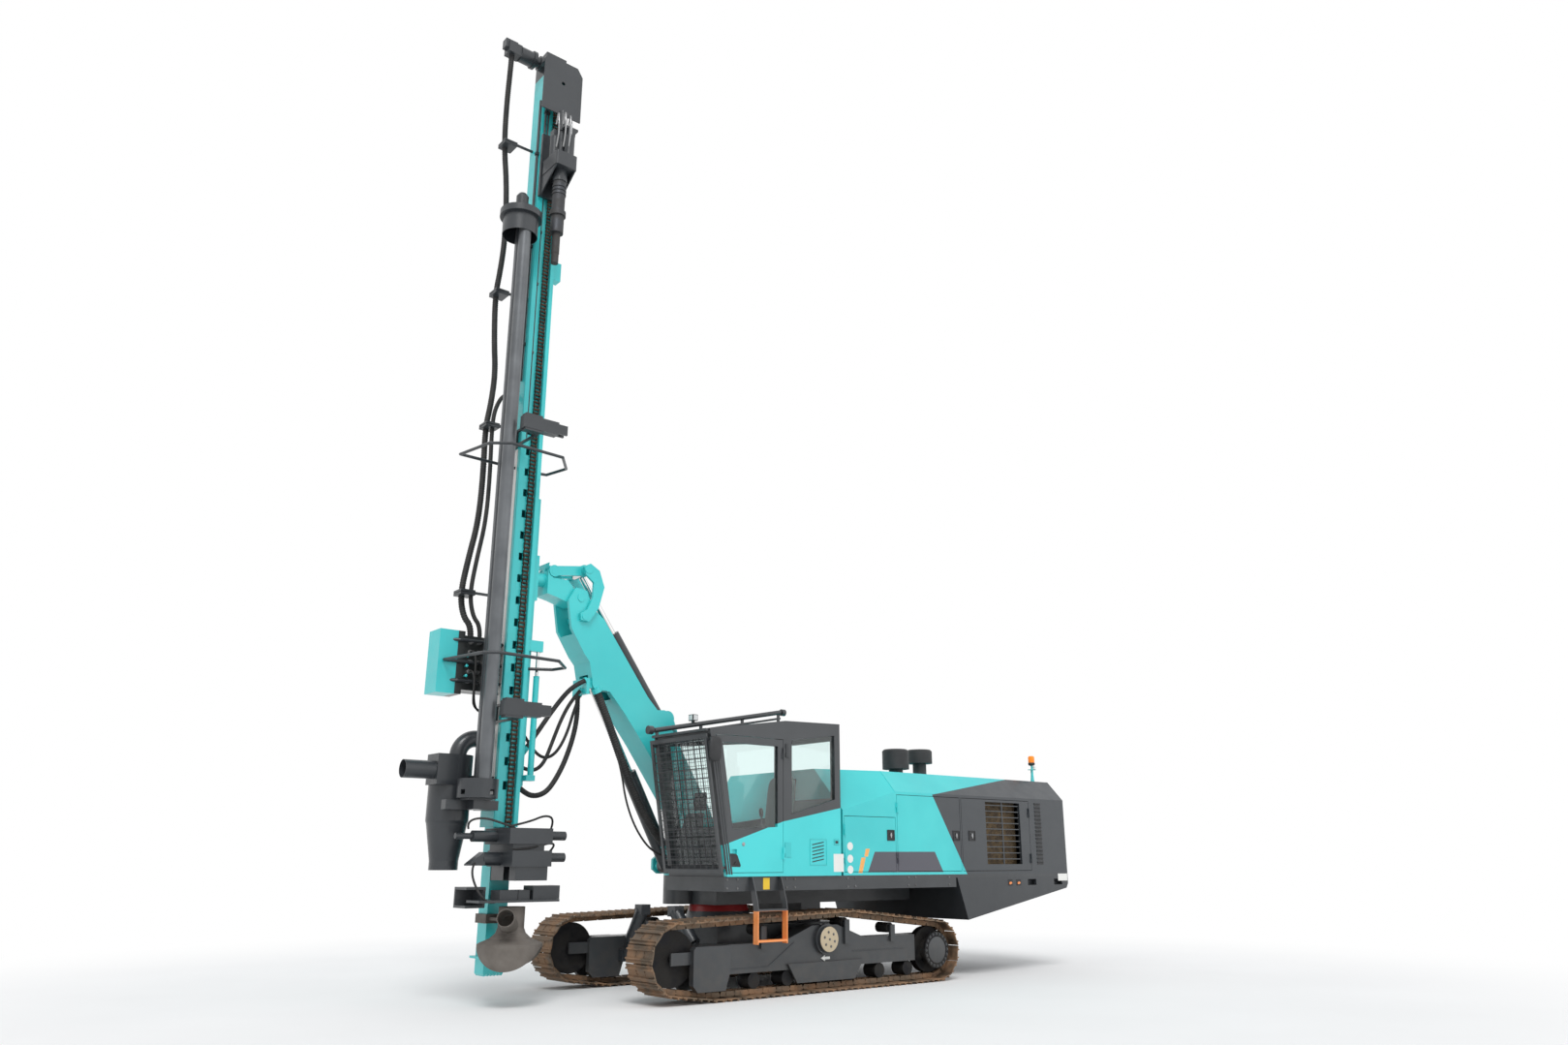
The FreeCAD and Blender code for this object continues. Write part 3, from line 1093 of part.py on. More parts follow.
def mast():
    outer = box(BEAM_X0, BEAM_X1, BEAM_Y0, BEAM_Y1, MAST_LOW_Z, MAST_TOP_Z)
    inner = box(BEAM_X0 + BEAM_WALL, BEAM_X1 - BEAM_WALL, BEAM_Y0 + BEAM_WALL, BEAM_Y1 - BEAM_WALL,
                MAST_LOW_Z + 20, MAST_TOP_Z - 20)
    shell = outer.cut(inner)
    slots = []
    for index in range(SLOT_COUNT):
        z = 2100 + SLOT_PITCH * index
        slots.append(box(CHAIN_X + 34, CHAIN_X + 82, BEAM_Y1 - BEAM_WALL - 1, BEAM_Y1 + 1, z, z + 88))
    shell = slots_cut(shell, slots)
    rails = [
        box(REAR_RAIL[0], REAR_RAIL[1], BEAM_Y1 - 1, BEAM_Y1 + RAIL_H, MAST_LOW_Z, MAST_TOP_Z - 900),
        box(FRONT_RAIL[0], FRONT_RAIL[1], BEAM_Y1 - 1, BEAM_Y1 + RAIL_H, MAST_LOW_Z, MAST_TOP_Z - 900),
    ]
    lower = box(FOOT_X[0], FOOT_X[1], FOOT_Y[0], FOOT_Y[1], FOOT_PLATE_Z - 5, MAST_LOW_Z + 1)
    shoe_plate = box(FOOT_X[0] - 45, FOOT_X[1] + 45, FOOT_Y[0] - 45, FOOT_Y[1] + 45, FOOT_PLATE_Z - 22, FOOT_PLATE_Z)
    shoe = box(FOOT_X[0], FOOT_X[1], FOOT_Y[0], FOOT_Y[1], FOOT_Z + 24, FOOT_PLATE_Z - 20)
    teeth = []
    for index in range(6):
        x = FOOT_X[0] + (FOOT_X[1] - FOOT_X[0]) * index / 6
        w = (FOOT_X[1] - FOOT_X[0]) / 6
        teeth.append(plate([(x, FOOT_Z + 25), (x + w / 2, FOOT_Z), (x + w, FOOT_Z + 25)], "Y", FOOT_Y[0], FOOT_Y[1]))
    clevis = box(3060, BEAM_X0 + 1, -162, -98, SLIDE_CLEVIS_Z - 70, SLIDE_CLEVIS_Z + 50)
    rear_bracket = box(3120, BEAM_X0 + 1, -250, -130, 8180, 8420)
    strips = []
    for low, high in (REAR_RAIL, FRONT_RAIL):
        strips.append(
            box(low + 4, high - 4, BEAM_Y1 + RAIL_H - 1, BEAM_Y1 + RAIL_H + STRIP_T, MAST_LOW_Z + 20, MAST_TOP_Z - 920))
    return join(shell, *rails, lower, shoe_plate, shoe, clevis, rear_bracket, *teeth, *strips)


def feed_chain():
    """One run of roller chain; each link is waisted between its pins."""
    low = MAST_LOW_Z + 40
    count = round((MAST_TOP_Z - 420 - low) / CHAIN_PITCH)
    half = CHAIN_W / 2
    left = []
    right = []
    for index in range(count):
        z = low + index * CHAIN_PITCH
        for height, width in ((z, half - CHAIN_WAIST), (z + CHAIN_PITCH / 2, half)):
            left.append((CHAIN_X - width, height))
            right.append((CHAIN_X + width, height))
    return plate(left + right[::-1], "Y", BEAM_Y1 + RUN, BEAM_Y1 + RUN + CHAIN_D)


HOUSING_Y = 100.0
HOUSING_Z = (MAST_TOP_Z - 670, MAST_TOP_Z + 110)
MOTOR_Y = -210.0
MOTOR_Z = MAST_TOP_Z + 180


def mast_head():
    """The sprocket housing on the mast's top, with its outer cover plate."""
    cap = box(BEAM_X0, BEAM_X1, BEAM_Y0, BEAM_Y1, MAST_TOP_Z, MOTOR_Z + 150)
    rear = BEAM_X0 - 135
    front = BEAM_X1 + 120
    cover_points = [(rear, HOUSING_Z[0]), (front, HOUSING_Z[0]), (front, HOUSING_Z[1] - 60), (front - 30, HOUSING_Z[1]),
                    (rear + 75, HOUSING_Z[1]), (rear, HOUSING_Z[1] - 110)]
    cover = plate(cover_points, "Y", HOUSING_Y - 16, HOUSING_Y)
    hole = cyl((BEAM_X0 + 130, HOUSING_Y - 20, HOUSING_Z[0] + 460), Y_AXIS, 24, 30)
    cover = cover.cut(hole)
    ribs = []
    for x in (BEAM_X0 + 5, BEAM_X1 - 15):
        ribs.append(box(x - 8, x + 8, BEAM_Y1, HOUSING_Y - 15, HOUSING_Z[0] + 320, HOUSING_Z[1] - 20))
    roof = box(BEAM_X0 - 40, BEAM_X1 + 80, BEAM_Y1, HOUSING_Y - 15, HOUSING_Z[1] - 36, HOUSING_Z[1] - 20)
    return join(cap, cover, roof, *ribs)


def feed_motor():
    flange = cyl((BEAM_X1, MOTOR_Y, MOTOR_Z), X_AXIS, 95, 60)
    neck = cyl((BEAM_X1 + 60, MOTOR_Y, MOTOR_Z), X_AXIS, 70, 60)
    gearbox = cyl((BEAM_X1 + 120, MOTOR_Y, MOTOR_Z), X_AXIS, 115, 40)
    drum = cyl((BEAM_X1 + 160, MOTOR_Y, MOTOR_Z), X_AXIS, 98, 170)
    motor = box(BEAM_X1 + 330, BEAM_X1 + 500, MOTOR_Y - 75, MOTOR_Y + 75, MOTOR_Z - 75, MOTOR_Z + 75)
    block = box(BEAM_X1 + 380, BEAM_X1 + 540, MOTOR_Y - 50, MOTOR_Y + 50, MOTOR_Z - 10, MOTOR_Z + 110)
    return join(flange, neck, gearbox, drum, motor, block)


write("mast", mast())
write("feed_chain", feed_chain())
write("mast_head", join(mast_head(), feed_motor()))


# ---------------------------------------------------------------- rotary head
HEAD_X = (DRILL_X - 140.0, DRILL_X + 140.0)
HEAD_Y = (30.0, 350.0)
HEAD_BLOCK_Z = (9450.0, 9640.0)


def drill_head():
    face = BEAM_Y1 + RAIL_H + STRIP_T + RUN
    carriage = box(BEAM_X0 - 14, BEAM_X1 + 14, face, face + 40, 9180, 10060)
    block = box(HEAD_X[0], HEAD_X[1], face + 40, HEAD_Y[1], HEAD_BLOCK_Z[0], HEAD_BLOCK_Z[1])
    block = block.makeFillet(28, [edge for edge in block.Edges if abs(edge.Vertexes[0].Z - edge.Vertexes[1].Z) > 100])
    lower = cyl((DRILL_X, DRILL_Y, HEAD_BLOCK_Z[0] - 150), Z_AXIS, 88, 150)
    web_points = [(face + 40, 9190), (face + 40, HEAD_BLOCK_Z[0]), (HEAD_Y[1] - 20, HEAD_BLOCK_Z[0])]
    webs = []
    for x in (HEAD_X[0] + 6, HEAD_X[1] - 22):
        webs.append(plate(web_points, "X", x, x + 16))
    motors = []
    for x, y in ((DRILL_X - 62, DRILL_Y + 70), (DRILL_X + 66, DRILL_Y - 62)):
        motors.append(cyl((x, y, HEAD_BLOCK_Z[1]), Z_AXIS, 62, 300))
        motors.append(box(x - 48, x + 48, y - 48, y + 48, HEAD_BLOCK_Z[1] + 295, HEAD_BLOCK_Z[1] + 390))
    swivel = cyl((DRILL_X + 10, DRILL_Y - 5, HEAD_BLOCK_Z[1] + 380), Z_AXIS, 55, 280)
    stem = cyl((DRILL_X + 10, DRILL_Y - 5, HEAD_BLOCK_Z[1]), Z_AXIS, 40, 385)
    bracket = box(DRILL_X - 150, DRILL_X + 40, DRILL_Y + 40, DRILL_Y + 110, 10030, 10060)
    return join(carriage, block, lower, swivel, stem, bracket, *motors, *webs)


def spindle():
    top = HEAD_BLOCK_Z[0] - 150 - RUN
    pieces = [
        cyl((DRILL_X, DRILL_Y, 8890), Z_AXIS, 78, top - 8890),
        cyl((DRILL_X, DRILL_Y, 8830), Z_AXIS, 98, 60),
        cyl((DRILL_X, DRILL_Y, 8600), Z_AXIS, 80, 230),
        cyl((DRILL_X, DRILL_Y, 8330), Z_AXIS, 48, 270),
        cyl((DRILL_X, DRILL_Y, 8200), Z_AXIS, 44, 130),
    ]
    for z in (9120, 9170, 9220):
        pieces.append(cyl((DRILL_X, DRILL_Y, z), Z_AXIS, 86, 22))
    return join(*pieces)


write("drill_head", drill_head())
write("spindle", spindle())


# ---------------------------------------------------------------- rod carousel
CAROUSEL_SLOTS = 5
FIRST_ROD_TURN = 92.0


def slot_place(index):
    turn = math.radians(FIRST_ROD_TURN + 360.0 / CAROUSEL_SLOTS * index)
    return (CAROUSEL_X + CAROUSEL_PITCH_R * math.cos(turn), CAROUSEL_Y + CAROUSEL_PITCH_R * math.sin(turn))


def carousel_drum():
    cup = cyl((CAROUSEL_X, CAROUSEL_Y, CAROUSEL_BOTTOM_Z), Z_AXIS, CUP_R, 190)
    cup_room = cyl((CAROUSEL_X, CAROUSEL_Y, CAROUSEL_BOTTOM_Z + 20), Z_AXIS, CUP_R - 8, 200)
    cup = cup.cut(cup_room)
    windows = []
    for turn in (20, 110, 200, 290):
        angle = math.radians(turn)
        middle = V(CAROUSEL_X + CUP_R * math.cos(angle), CAROUSEL_Y + CUP_R * math.sin(angle), 0)
        cutter = box(middle.x - 28, middle.x + 28, middle.y - 28, middle.y + 28,
                     CAROUSEL_BOTTOM_Z + 32, CAROUSEL_BOTTOM_Z + 80)
        windows.append(cutter)
    cup = slots_cut(cup, windows)
    column = cyl((CAROUSEL_X, CAROUSEL_Y, CAROUSEL_BOTTOM_Z + 19), Z_AXIS, 36, CAROUSEL_TOP_Z - CAROUSEL_BOTTOM_Z - 130)
    can = cyl((CAROUSEL_X, CAROUSEL_Y, CAROUSEL_TOP_Z - 420), Z_AXIS, CUP_R, 230)
    can_room = cyl((CAROUSEL_X, CAROUSEL_Y, CAROUSEL_TOP_Z - 421), Z_AXIS, CUP_R - 8, 216)
    can = can.cut(can_room)
    ring = cyl((CAROUSEL_X, CAROUSEL_Y, CAROUSEL_TOP_Z - 190), Z_AXIS, RING_R, 80)
    return join(cup, column, can, ring)


def drill_rods():
    rods = []
    for index in (0, 2):
        x, y = slot_place(index)
        z0 = CAROUSEL_BOTTOM_Z + 20 + RUN
        body = cyl((x, y, z0 + 60), Z_AXIS, ROD_R, CAROUSEL_TOP_Z - 420 + 150 - z0 - 60)
        tail = Part.makeCone(ROD_R - 22, ROD_R, 60, V(x, y, z0))
        rods.append(join(body, tail))
    return rods


def carousel_frame():
    """Arms on the mast that carry the carousel's two ends, with its turning motor on top."""
    top = CAROUSEL_TOP_Z - 110 + RUN
    upper = box(BEAM_X1, CAROUSEL_X + 60, BEAM_Y1 - 70, BEAM_Y1 - 10, top, top + 60)
    upper_plate = box(CAROUSEL_X - 110, CAROUSEL_X + 110, BEAM_Y1 - 70, CAROUSEL_Y + 90, top, top + 26)
    motor = cyl((CAROUSEL_X, CAROUSEL_Y, top + 20), Z_AXIS, 72, 200)
    motor_cap = Part.makeCone(72, 45, 40, V(CAROUSEL_X, CAROUSEL_Y, top + 220))
    low = CAROUSEL_BOTTOM_Z - RUN
    lower_plate = box(CAROUSEL_X - 130, CAROUSEL_X + 130, BEAM_Y1 + 15, CAROUSEL_Y + 90, low - 20, low)
    lower_root = box(BEAM_X1, CAROUSEL_X - 115, BEAM_Y1 - 100, CAROUSEL_Y - 90, low - 110, low - 15)
    lower_beam = box(CAROUSEL_X - 125, CAROUSEL_X + 290, BEAM_Y1 + 15, CAROUSEL_Y - 90, low - 110, low - 15)
    lower_post = box(CAROUSEL_X - 60, CAROUSEL_X + 60, -60, CAROUSEL_Y + 60, low - 110, low - 15)
    return join(upper, upper_plate, motor, motor_cap), join(lower_plate, lower_root, lower_beam, lower_post)


def rod_arm(z):
    """An arm parked along the carousel; it turns in to hold a rod over the drill's axis."""
    px, py = ARM_PIVOT
    length = 400
    beam = box(px - length + 40, px + 60, py - 55, py + 55, z - 75, z + 75)
    jaw_a = box(px - length - 70, px - length + 41, py - 55, py - 30, z - 55, z + 55)
    jaw_b = box(px - length - 70, px - length + 41, py + 30, py + 55, z - 55, z + 55)
    bore = cyl((px, py, z - 80), Z_AXIS, 24 + PIN_GAP, 160)
    return join(beam, jaw_a, jaw_b).cut(bore)


def arm_bracket(z):
    px, py = ARM_PIVOT
    plates = []
    for low in (z - 75 - RUN - 24, z + 75 + RUN):
        bar = box(BEAM_X1 + 22, BEAM_X1 + 50, BEAM_Y1 - 130, py + 50, low, low + 24)
        head = box(BEAM_X1 + 22, px + 45, py - 45, py + 50, low, low + 24)
        plates.append(join(bar, head))
    pin = cyl((px, py, z - 90), Z_AXIS, 24, 180)
    root = box(BEAM_X1, BEAM_X1 + 50, BEAM_Y1 - 130, BEAM_Y1 - 30, z - 75 - RUN - 24, z + 75 + RUN + 24)
    return join(root, pin, *plates)


write("carousel_drum", carousel_drum())
write("drill_rods", *drill_rods())
write("carousel_frame", *carousel_frame(), *[arm_bracket(z) for z in ARM_ZS])
write("rod_arms", *[rod_arm(z) for z in ARM_ZS])


# ---------------------------------------------------------------- break-out table, centraliser, dust hood
BORE_R = 110.0


def clamp_table():
    y_in = FOOT_Y[1]
    upper = box(3080, 3560, y_in, 400, 1545, 1700)
    waist = box(3150, 3500, y_in, 360, 1480, 1546)
    lower = box(3080, 3520, y_in, 400, 1325, 1481)
    base = box(3110, 3470, y_in, 380, 1190, 1326)
    whole = join(upper, waist, lower, base)
    bore = cyl((DRILL_X, DRILL_Y, 1100), Z_AXIS, BORE_R, 700)
    whole = whole.cut(bore)
    upper_cyl = cyl((3081, 190 + 60, 1630), X_AXIS * -1, 46, 220)
    lower_cyl = cyl((3081, 190 + 60, 1415), X_AXIS * -1, 46, 220)
    wrench = cyl((3559, 80, 1620), X_AXIS, 56, 260)
    wrench_rod = cyl((3818, 80, 1620), X_AXIS, 30, 180)
    gripper = cyl((3519, 120, 1400), X_AXIS, 66, 200)
    nose = plate([(3700, 1335), (3870, 1335), (3870, 1350), (3720, 1466)], "Y", 60, 180)
    return join(whole, upper_cyl, lower_cyl, wrench, wrench_rod, gripper, nose)


def centraliser():
    y_in = FOOT_Y[1]
    base = box(2960, 3840, y_in, 390, 985, 1008)
    right_box = box(2930, 3230, 120, 330, 1008, 1140)
    left_box = box(3640, 3850, y_in, 110, 930, 1130)
    wall = 25
    left_gap = box(3640 + wall, 3851, y_in + wall, 111, 930 + wall, 1130 - wall)
    whole = join(base, right_box, left_box)
    bore = cyl((DRILL_X, DRILL_Y, 900), Z_AXIS, BORE_R, 300)
    return whole.cut([bore, left_gap])


def centraliser_jaws():
    jaws = []
    bore = cyl((DRILL_X, DRILL_Y, 1000), Z_AXIS, 74, 200)
    left = box(3250, DRILL_X - 3, 100, 300, 1008 + RUN, 1100)
    right = box(DRILL_X + 3, 3580, 100, 300, 1008 + RUN, 1100)
    for jaw in (left, right):
        jaws.append(jaw.cut(bore))
    return jaws


HEM_R = 322.0
HEM_LOW_Z = 350.0
HEM_DROP = 235.0
HEM_BACK = 255.0


def dust_hood():
    """A flared bell with a rounded hem, a neck and a suction pipe; it slides up the foot on a carrier."""
    outer_points = [(130, 940), (130, 740), (150, 690), (205, 640), (300, 602), (HEM_R, 590), (HEM_R, HEM_LOW_Z - 20)]
    wall = 6
    ring = [V(DRILL_X + r, DRILL_Y, z) for r, z in outer_points]
    inner_ring = [V(DRILL_X + r - wall, DRILL_Y, z) for r, z in reversed(outer_points)]
    face = Part.Face(Part.makePolygon(ring + inner_ring + ring[:1]))
    skirt = face.revolve(V(DRILL_X, DRILL_Y, 0), Z_AXIS, 360)
    top = cyl((DRILL_X, DRILL_Y, 930), Z_AXIS, 130, 10).cut(cyl((DRILL_X, DRILL_Y, 900), Z_AXIS, 84, 60))
    # the hem hangs in an arc across the suction pipe's direction
    half_chord = HEM_R + 3
    arc_r = (half_chord ** 2 + HEM_DROP ** 2) / (2 * HEM_DROP)
    across = V(0.56, 0.78, 0).normalize()
    arc_start = V(DRILL_X, DRILL_Y, HEM_LOW_Z + arc_r) - across * 500
    arc_room = Part.makeCylinder(arc_r, 1000, arc_start, across)
    upper_room = box(DRILL_X - 500, DRILL_X + 500, DRILL_Y - 500, DRILL_Y + 500, HEM_LOW_Z + HEM_DROP, 1000)
    skirt = skirt.common(join(arc_room, upper_room))
    foot_room = box(DRILL_X - 400, DRILL_X + 400, DRILL_Y - 500, DRILL_Y - HEM_BACK, 0, 620)
    skirt = skirt.cut(foot_room)
    aim = V(0.56, 0.78, 0.28)
    aim.normalize()
    start = V(DRILL_X, DRILL_Y, 740) + aim * 60
    pipe = Part.makeCylinder(86, 330, start, aim)
    pipe_room = Part.makeCylinder(81, 340, start, aim)
    neck_room = cyl((DRILL_X, DRILL_Y, 500), Z_AXIS, 124, 430)
    body = join(skirt, top, pipe)
    body = body.cut([pipe_room, neck_room])
    carrier = box(3300, 3460, FOOT_Y[1] + 2, DRILL_Y - 122, 800, 830)
    collar = box(FOOT_X[0] - 22, FOOT_X[1] + 22, FOOT_Y[0] - 22, FOOT_Y[1] + 22, 770, 860)
    collar_room = box(FOOT_X[0] - RUN, FOOT_X[1] + RUN, FOOT_Y[0] - RUN, FOOT_Y[1] + RUN, 760, 870)
    carrier = join(carrier, collar).cut(collar_room)
    return join(body, carrier)


write("clamp_table", clamp_table())
write("centraliser", centraliser(), *centraliser_jaws())
write("dust_hood", dust_hood())


# ---------------------------------------------------------------- cyclone, valve box, guard hoops, hoses on the mast
CYCLONE_X = 3911.0
CYCLONE_Y = -340.0


def revolved(points, x, y):
    ring = [V(x + r, y, z) for r, z in points]
    face = Part.Face(Part.makePolygon(ring + ring[:1]))
    return face.revolve(V(x, y, 0), Z_AXIS, 360)


def cyclone():
    """The dust separator: a closed vessel, open at its inlet pipe and at its mouth below."""
    outer = [(0.0, 1290), (145, 1290), (145, 1380), (205, 1745), (215, 1775), (215, 2440), (0.0, 2440)]
    mouth = [(0.0, 1280), (139, 1280), (139, 1380), (158, 1500), (0.0, 1500)]
    body = revolved(outer, CYCLONE_X, CYCLONE_Y)
    scroll = box(CYCLONE_X, CYCLONE_X + 240, CYCLONE_Y - 60, CYCLONE_Y + 214, 2130, 2440)
    inlet = cyl((CYCLONE_X + 235, CYCLONE_Y + 110, 2275), X_AXIS, 92, 330)
    inlet_room = cyl((CYCLONE_X + 215, CYCLONE_Y + 110, 2275), X_AXIS, 87, 355)
    body = join(body, scroll, inlet)
    body = body.cut([revolved(mouth, CYCLONE_X, CYCLONE_Y), inlet_room])
    # the outlet bends back to the mast
    bend_r = 190.0
    face = Part.Face(Part.Wire(Part.makeCircle(88, V(CYCLONE_X - 60, CYCLONE_Y, 2439), Z_AXIS)))
    bend = face.revolve(V(CYCLONE_X - 60 - bend_r, CYCLONE_Y, 2439), Y_AXIS, -90)
    tail_start = CYCLONE_X - 60 - bend_r
    tail = cyl((tail_start, CYCLONE_Y, 2439 + bend_r), X_AXIS * -1, 88, tail_start - BEAM_X1 - RUN)
    whole = join(body, bend, tail)
    tray = box(BEAM_X1, CYCLONE_X - 150, BEAM_Y1 - 110, BEAM_Y1 - 20, 2150, 2230)
    return join(whole, tray)


def valve_box():
    cover = box(3960, 4240, -430, VALVE_Y1, 3060, 3730)
    block = box(BEAM_X1 + 90, 3960, -430, VALVE_Y1 - 20, 3110, 3690)
    stay = box(BEAM_X1, BEAM_X1 + 91, -380, -200, 3250, 3550)
    return cover, join(block, stay)


def hoop(points, z, radius):
    solids = []
    count = len(points)
    for index in range(count - 1):
        a = (points[index][0], points[index][1], z)
        b = (points[index + 1][0], points[index + 1][1], z)
        solids.append(rod(a, b, radius))
        if index:
            solids.append(Part.makeSphere(radius, V(*a)))
    return join(*solids)


def guard_hoops():
    """Bent bars round the carousel; both ends of each stop at the mast's beam."""
    upper = [
        (BEAM_X0 + 10, BEAM_Y1 - 60), (3130, -150), (3060, 185), (3280, 500), (3930, 550), (4110, 400),
        (4200, -130), (BEAM_X1 - 10, -170),
    ]
    lower = [
        (BEAM_X0 + 10, BEAM_Y1 - 35), (3190, -100), (3090, -50), (2985, 10), (2940, 200), (3210, 550), (3930, 630),
        (4060, 530), (4180, HOOP_Y), (3720, HOOP_Y), (BEAM_X1 - 10, -150),
    ]
    short = [(BEAM_X1 - 10, -150), (3640, HOOP_Y), (4020, HOOP_Y), (4090, HOOP_Y - 40)]
    solids = []
    beam_fill = box(BEAM_X0, BEAM_X1, BEAM_Y0, BEAM_Y1, 3000, 6500)
    valve_fill = box(BEAM_X1 + 90, 4240, -430, VALVE_Y1, 3060, 3730)
    for outline, z in ((upper, UPPER_HOOP_Z), (lower, LOWER_HOOP_Z), (short, 3630), (short, 3200)):
        solids.append(hoop(outline, z, HOOP_R).cut([beam_fill, valve_fill]))
    return solids


def hose_path(points):
    """Straight runs joined by tangent arcs, each as large as its two runs allow."""
    places = [V(*point) for point in points]
    edges = []
    radii = []
    here = places[0]
    for index in range(1, len(places) - 1):
        before = places[index] - places[index - 1]
        after = places[index + 1] - places[index]
        trim = 0.45 * min(before.Length, after.Length)
        radius = trim / math.tan(before.getAngle(after) / 2)
        radii.append(radius)
        start = places[index] - before.normalize() * trim
        end = places[index] + after.normalize() * trim
        inward = ((start + end) * 0.5 - places[index]).normalize()
        reach = math.hypot(radius, trim) - radius
        edges.append(Part.LineSegment(here, start).toShape())
        edges.append(Part.Arc(start, places[index] + inward * reach, end).toShape())
        here = end
    edges.append(Part.LineSegment(here, places[-1]).toShape())
    return Part.Wire(edges), radii


def hose(name, points, radius):
    path, radii = hose_path(points)
    aim = V(*points[1]) - V(*points[0])
    section = Part.Wire(Part.makeCircle(radius, V(*points[0]), aim))
    tube = path.makePipeShell([section], True, False, 2)
    share = tube.Volume / (math.pi * radius * radius * path.Length)
    print(name, "length", round(path.Length), "diameter", 2 * radius, "radii", [round(r) for r in radii],
          "volume share", round(share, 4))
    return tube


HOSE_CLAMPS = ((3845.0, -450.0, 9950.0), (3801.0, -455.0, 7900.0), (3789.0, -455.0, 6200.0), (3925.0, -450.0, 4200.0))
MAIN_HOSE = [
    (3950, -215, 11104.7), (3950, -215, 10960), (3895, -370, 10480), (3845, -450, 9950), (3768, -455, 9420),
    (3735, -452, 8700), (3762, -452, 8250), (3801, -455, 7900), (3768, -453, 7300), (3722, -452, 6900),
    (3745, -454, 6500), (3789, -455, 6200), (3770, -453, 5600), (3785, -453, 5050), (3868, -450, 4600),
    (3925, -450, 4200), (3880, -435, 3950), (3792, -394, 3840), (3792, -394, 3690.3),
]
SIDE_HOSE = [
    (3520.3, -345, 6635), (3635, -345, 6635), (3725, -368, 6440), (3745, -378, 6200), (3722, -377, 5600),
    (3728, -377, 5050), (3800, -376, 4600), (3850, -374, 4200), (3805, -355, 3950), (3718, -324, 3840),
    (3718, -324, 3690.3),
]
MAIN_HOSE_R = 36.0
SIDE_HOSE_R = 26.0


def mast_hoses():
    """Ribbed hoses clipped down the mast's front: one from the feed motor, one from the beam, to the valve block."""
    return [hose("mast_main", MAIN_HOSE, MAIN_HOSE_R), hose("mast_side", SIDE_HOSE, SIDE_HOSE_R)]


def hose_clamps():
    room = [hose("main_room", MAIN_HOSE, MAIN_HOSE_R + RUN), hose("side_room", SIDE_HOSE, SIDE_HOSE_R + RUN)]
    solids = []
    for x, y, z in HOSE_CLAMPS:
        arm = box(BEAM_X1, x - 40, -345, -305, z - 18, z + 18)
        block = box(x - 115, x + 60, y - 55, -305, z - 32, z + 32)
        solids.append(join(arm, block).cut(room))
    return solids


write("cyclone", cyclone())
valve_cover, valve_block = valve_box()
write("valve_box", valve_cover, valve_block)
write("guard_hoops", *guard_hoops())
write("mast_hoses", *mast_hoses(), *hose_clamps())


# ---------------------------------------------------------------- free hoses
for routes in (UPPER_HOSES, LIFT_HOSES):
    for hose_name, (hose_radius, hose_points) in routes.items():
        write(hose_name, hose(hose_name, hose_points, hose_radius))
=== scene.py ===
# %% [markdown]
# # A crawler drilling rig, dressed in Blender
#
# The metal of this rig already exists as CAD solids. This lesson gives them their paint, rubber, chrome and
# glass, and adds what a solid model leaves out: hoses that sag, shoes on the tracks, links in the chain,
# bolts, wire mesh, seats and lamps. Every length is in metres. X points forward to the mast, Y to the cab
# side and Z up.

# %% Load the frame
import math
import bpy
import bmesh
from mathutils import Matrix, Vector


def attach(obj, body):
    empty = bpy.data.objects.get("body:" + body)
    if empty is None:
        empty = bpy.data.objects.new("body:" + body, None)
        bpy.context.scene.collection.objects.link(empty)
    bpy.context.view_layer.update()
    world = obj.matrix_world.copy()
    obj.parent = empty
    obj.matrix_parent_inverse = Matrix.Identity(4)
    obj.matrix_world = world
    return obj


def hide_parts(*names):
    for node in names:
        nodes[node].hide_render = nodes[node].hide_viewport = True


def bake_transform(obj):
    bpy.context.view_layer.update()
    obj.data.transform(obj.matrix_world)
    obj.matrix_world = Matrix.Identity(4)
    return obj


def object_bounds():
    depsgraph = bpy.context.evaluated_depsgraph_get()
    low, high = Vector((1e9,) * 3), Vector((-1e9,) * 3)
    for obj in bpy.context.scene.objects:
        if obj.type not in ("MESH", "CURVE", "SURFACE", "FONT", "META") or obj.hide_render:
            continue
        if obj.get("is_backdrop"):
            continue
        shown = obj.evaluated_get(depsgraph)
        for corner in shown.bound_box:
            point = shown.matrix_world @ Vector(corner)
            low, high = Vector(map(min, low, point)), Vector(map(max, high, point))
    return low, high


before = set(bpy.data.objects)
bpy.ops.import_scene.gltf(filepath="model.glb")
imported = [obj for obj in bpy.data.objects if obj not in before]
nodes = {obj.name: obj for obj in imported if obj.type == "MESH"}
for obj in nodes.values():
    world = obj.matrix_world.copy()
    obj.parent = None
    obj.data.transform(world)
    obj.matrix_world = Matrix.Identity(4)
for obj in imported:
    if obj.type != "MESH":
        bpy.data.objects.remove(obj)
low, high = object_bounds()


def keep_object(name, data, finish=None):
    """A mesh, curve, camera or lamp as an object in the scene, with its finish."""
    if finish:
        data.materials.append(finish)
    piece = bpy.data.objects.new(name, data)
    bpy.context.scene.collection.objects.link(piece)
    return piece


print("CAD solids:", len(nodes), "from", [round(v, 3) for v in low], "to", [round(v, 3) for v in high])

# %% [markdown]
# ## The camera
#
# A tall mast seen from near the ground needs a camera that looks up, so the uprights lean together a little.
# The lens is a mild wide angle, which is what a person standing about twelve metres from the mast would
# carry.

# %% Set the camera
CAMERA_PLACE = Vector((8.99, 11.133, 1.38))
CAMERA_YAW = math.radians(40.0)
CAMERA_RISE = math.radians(16.7)
CAMERA_SENSOR = 36.0
CAMERA_LENS = 25.9
SIGHT_LIMIT = 300.0

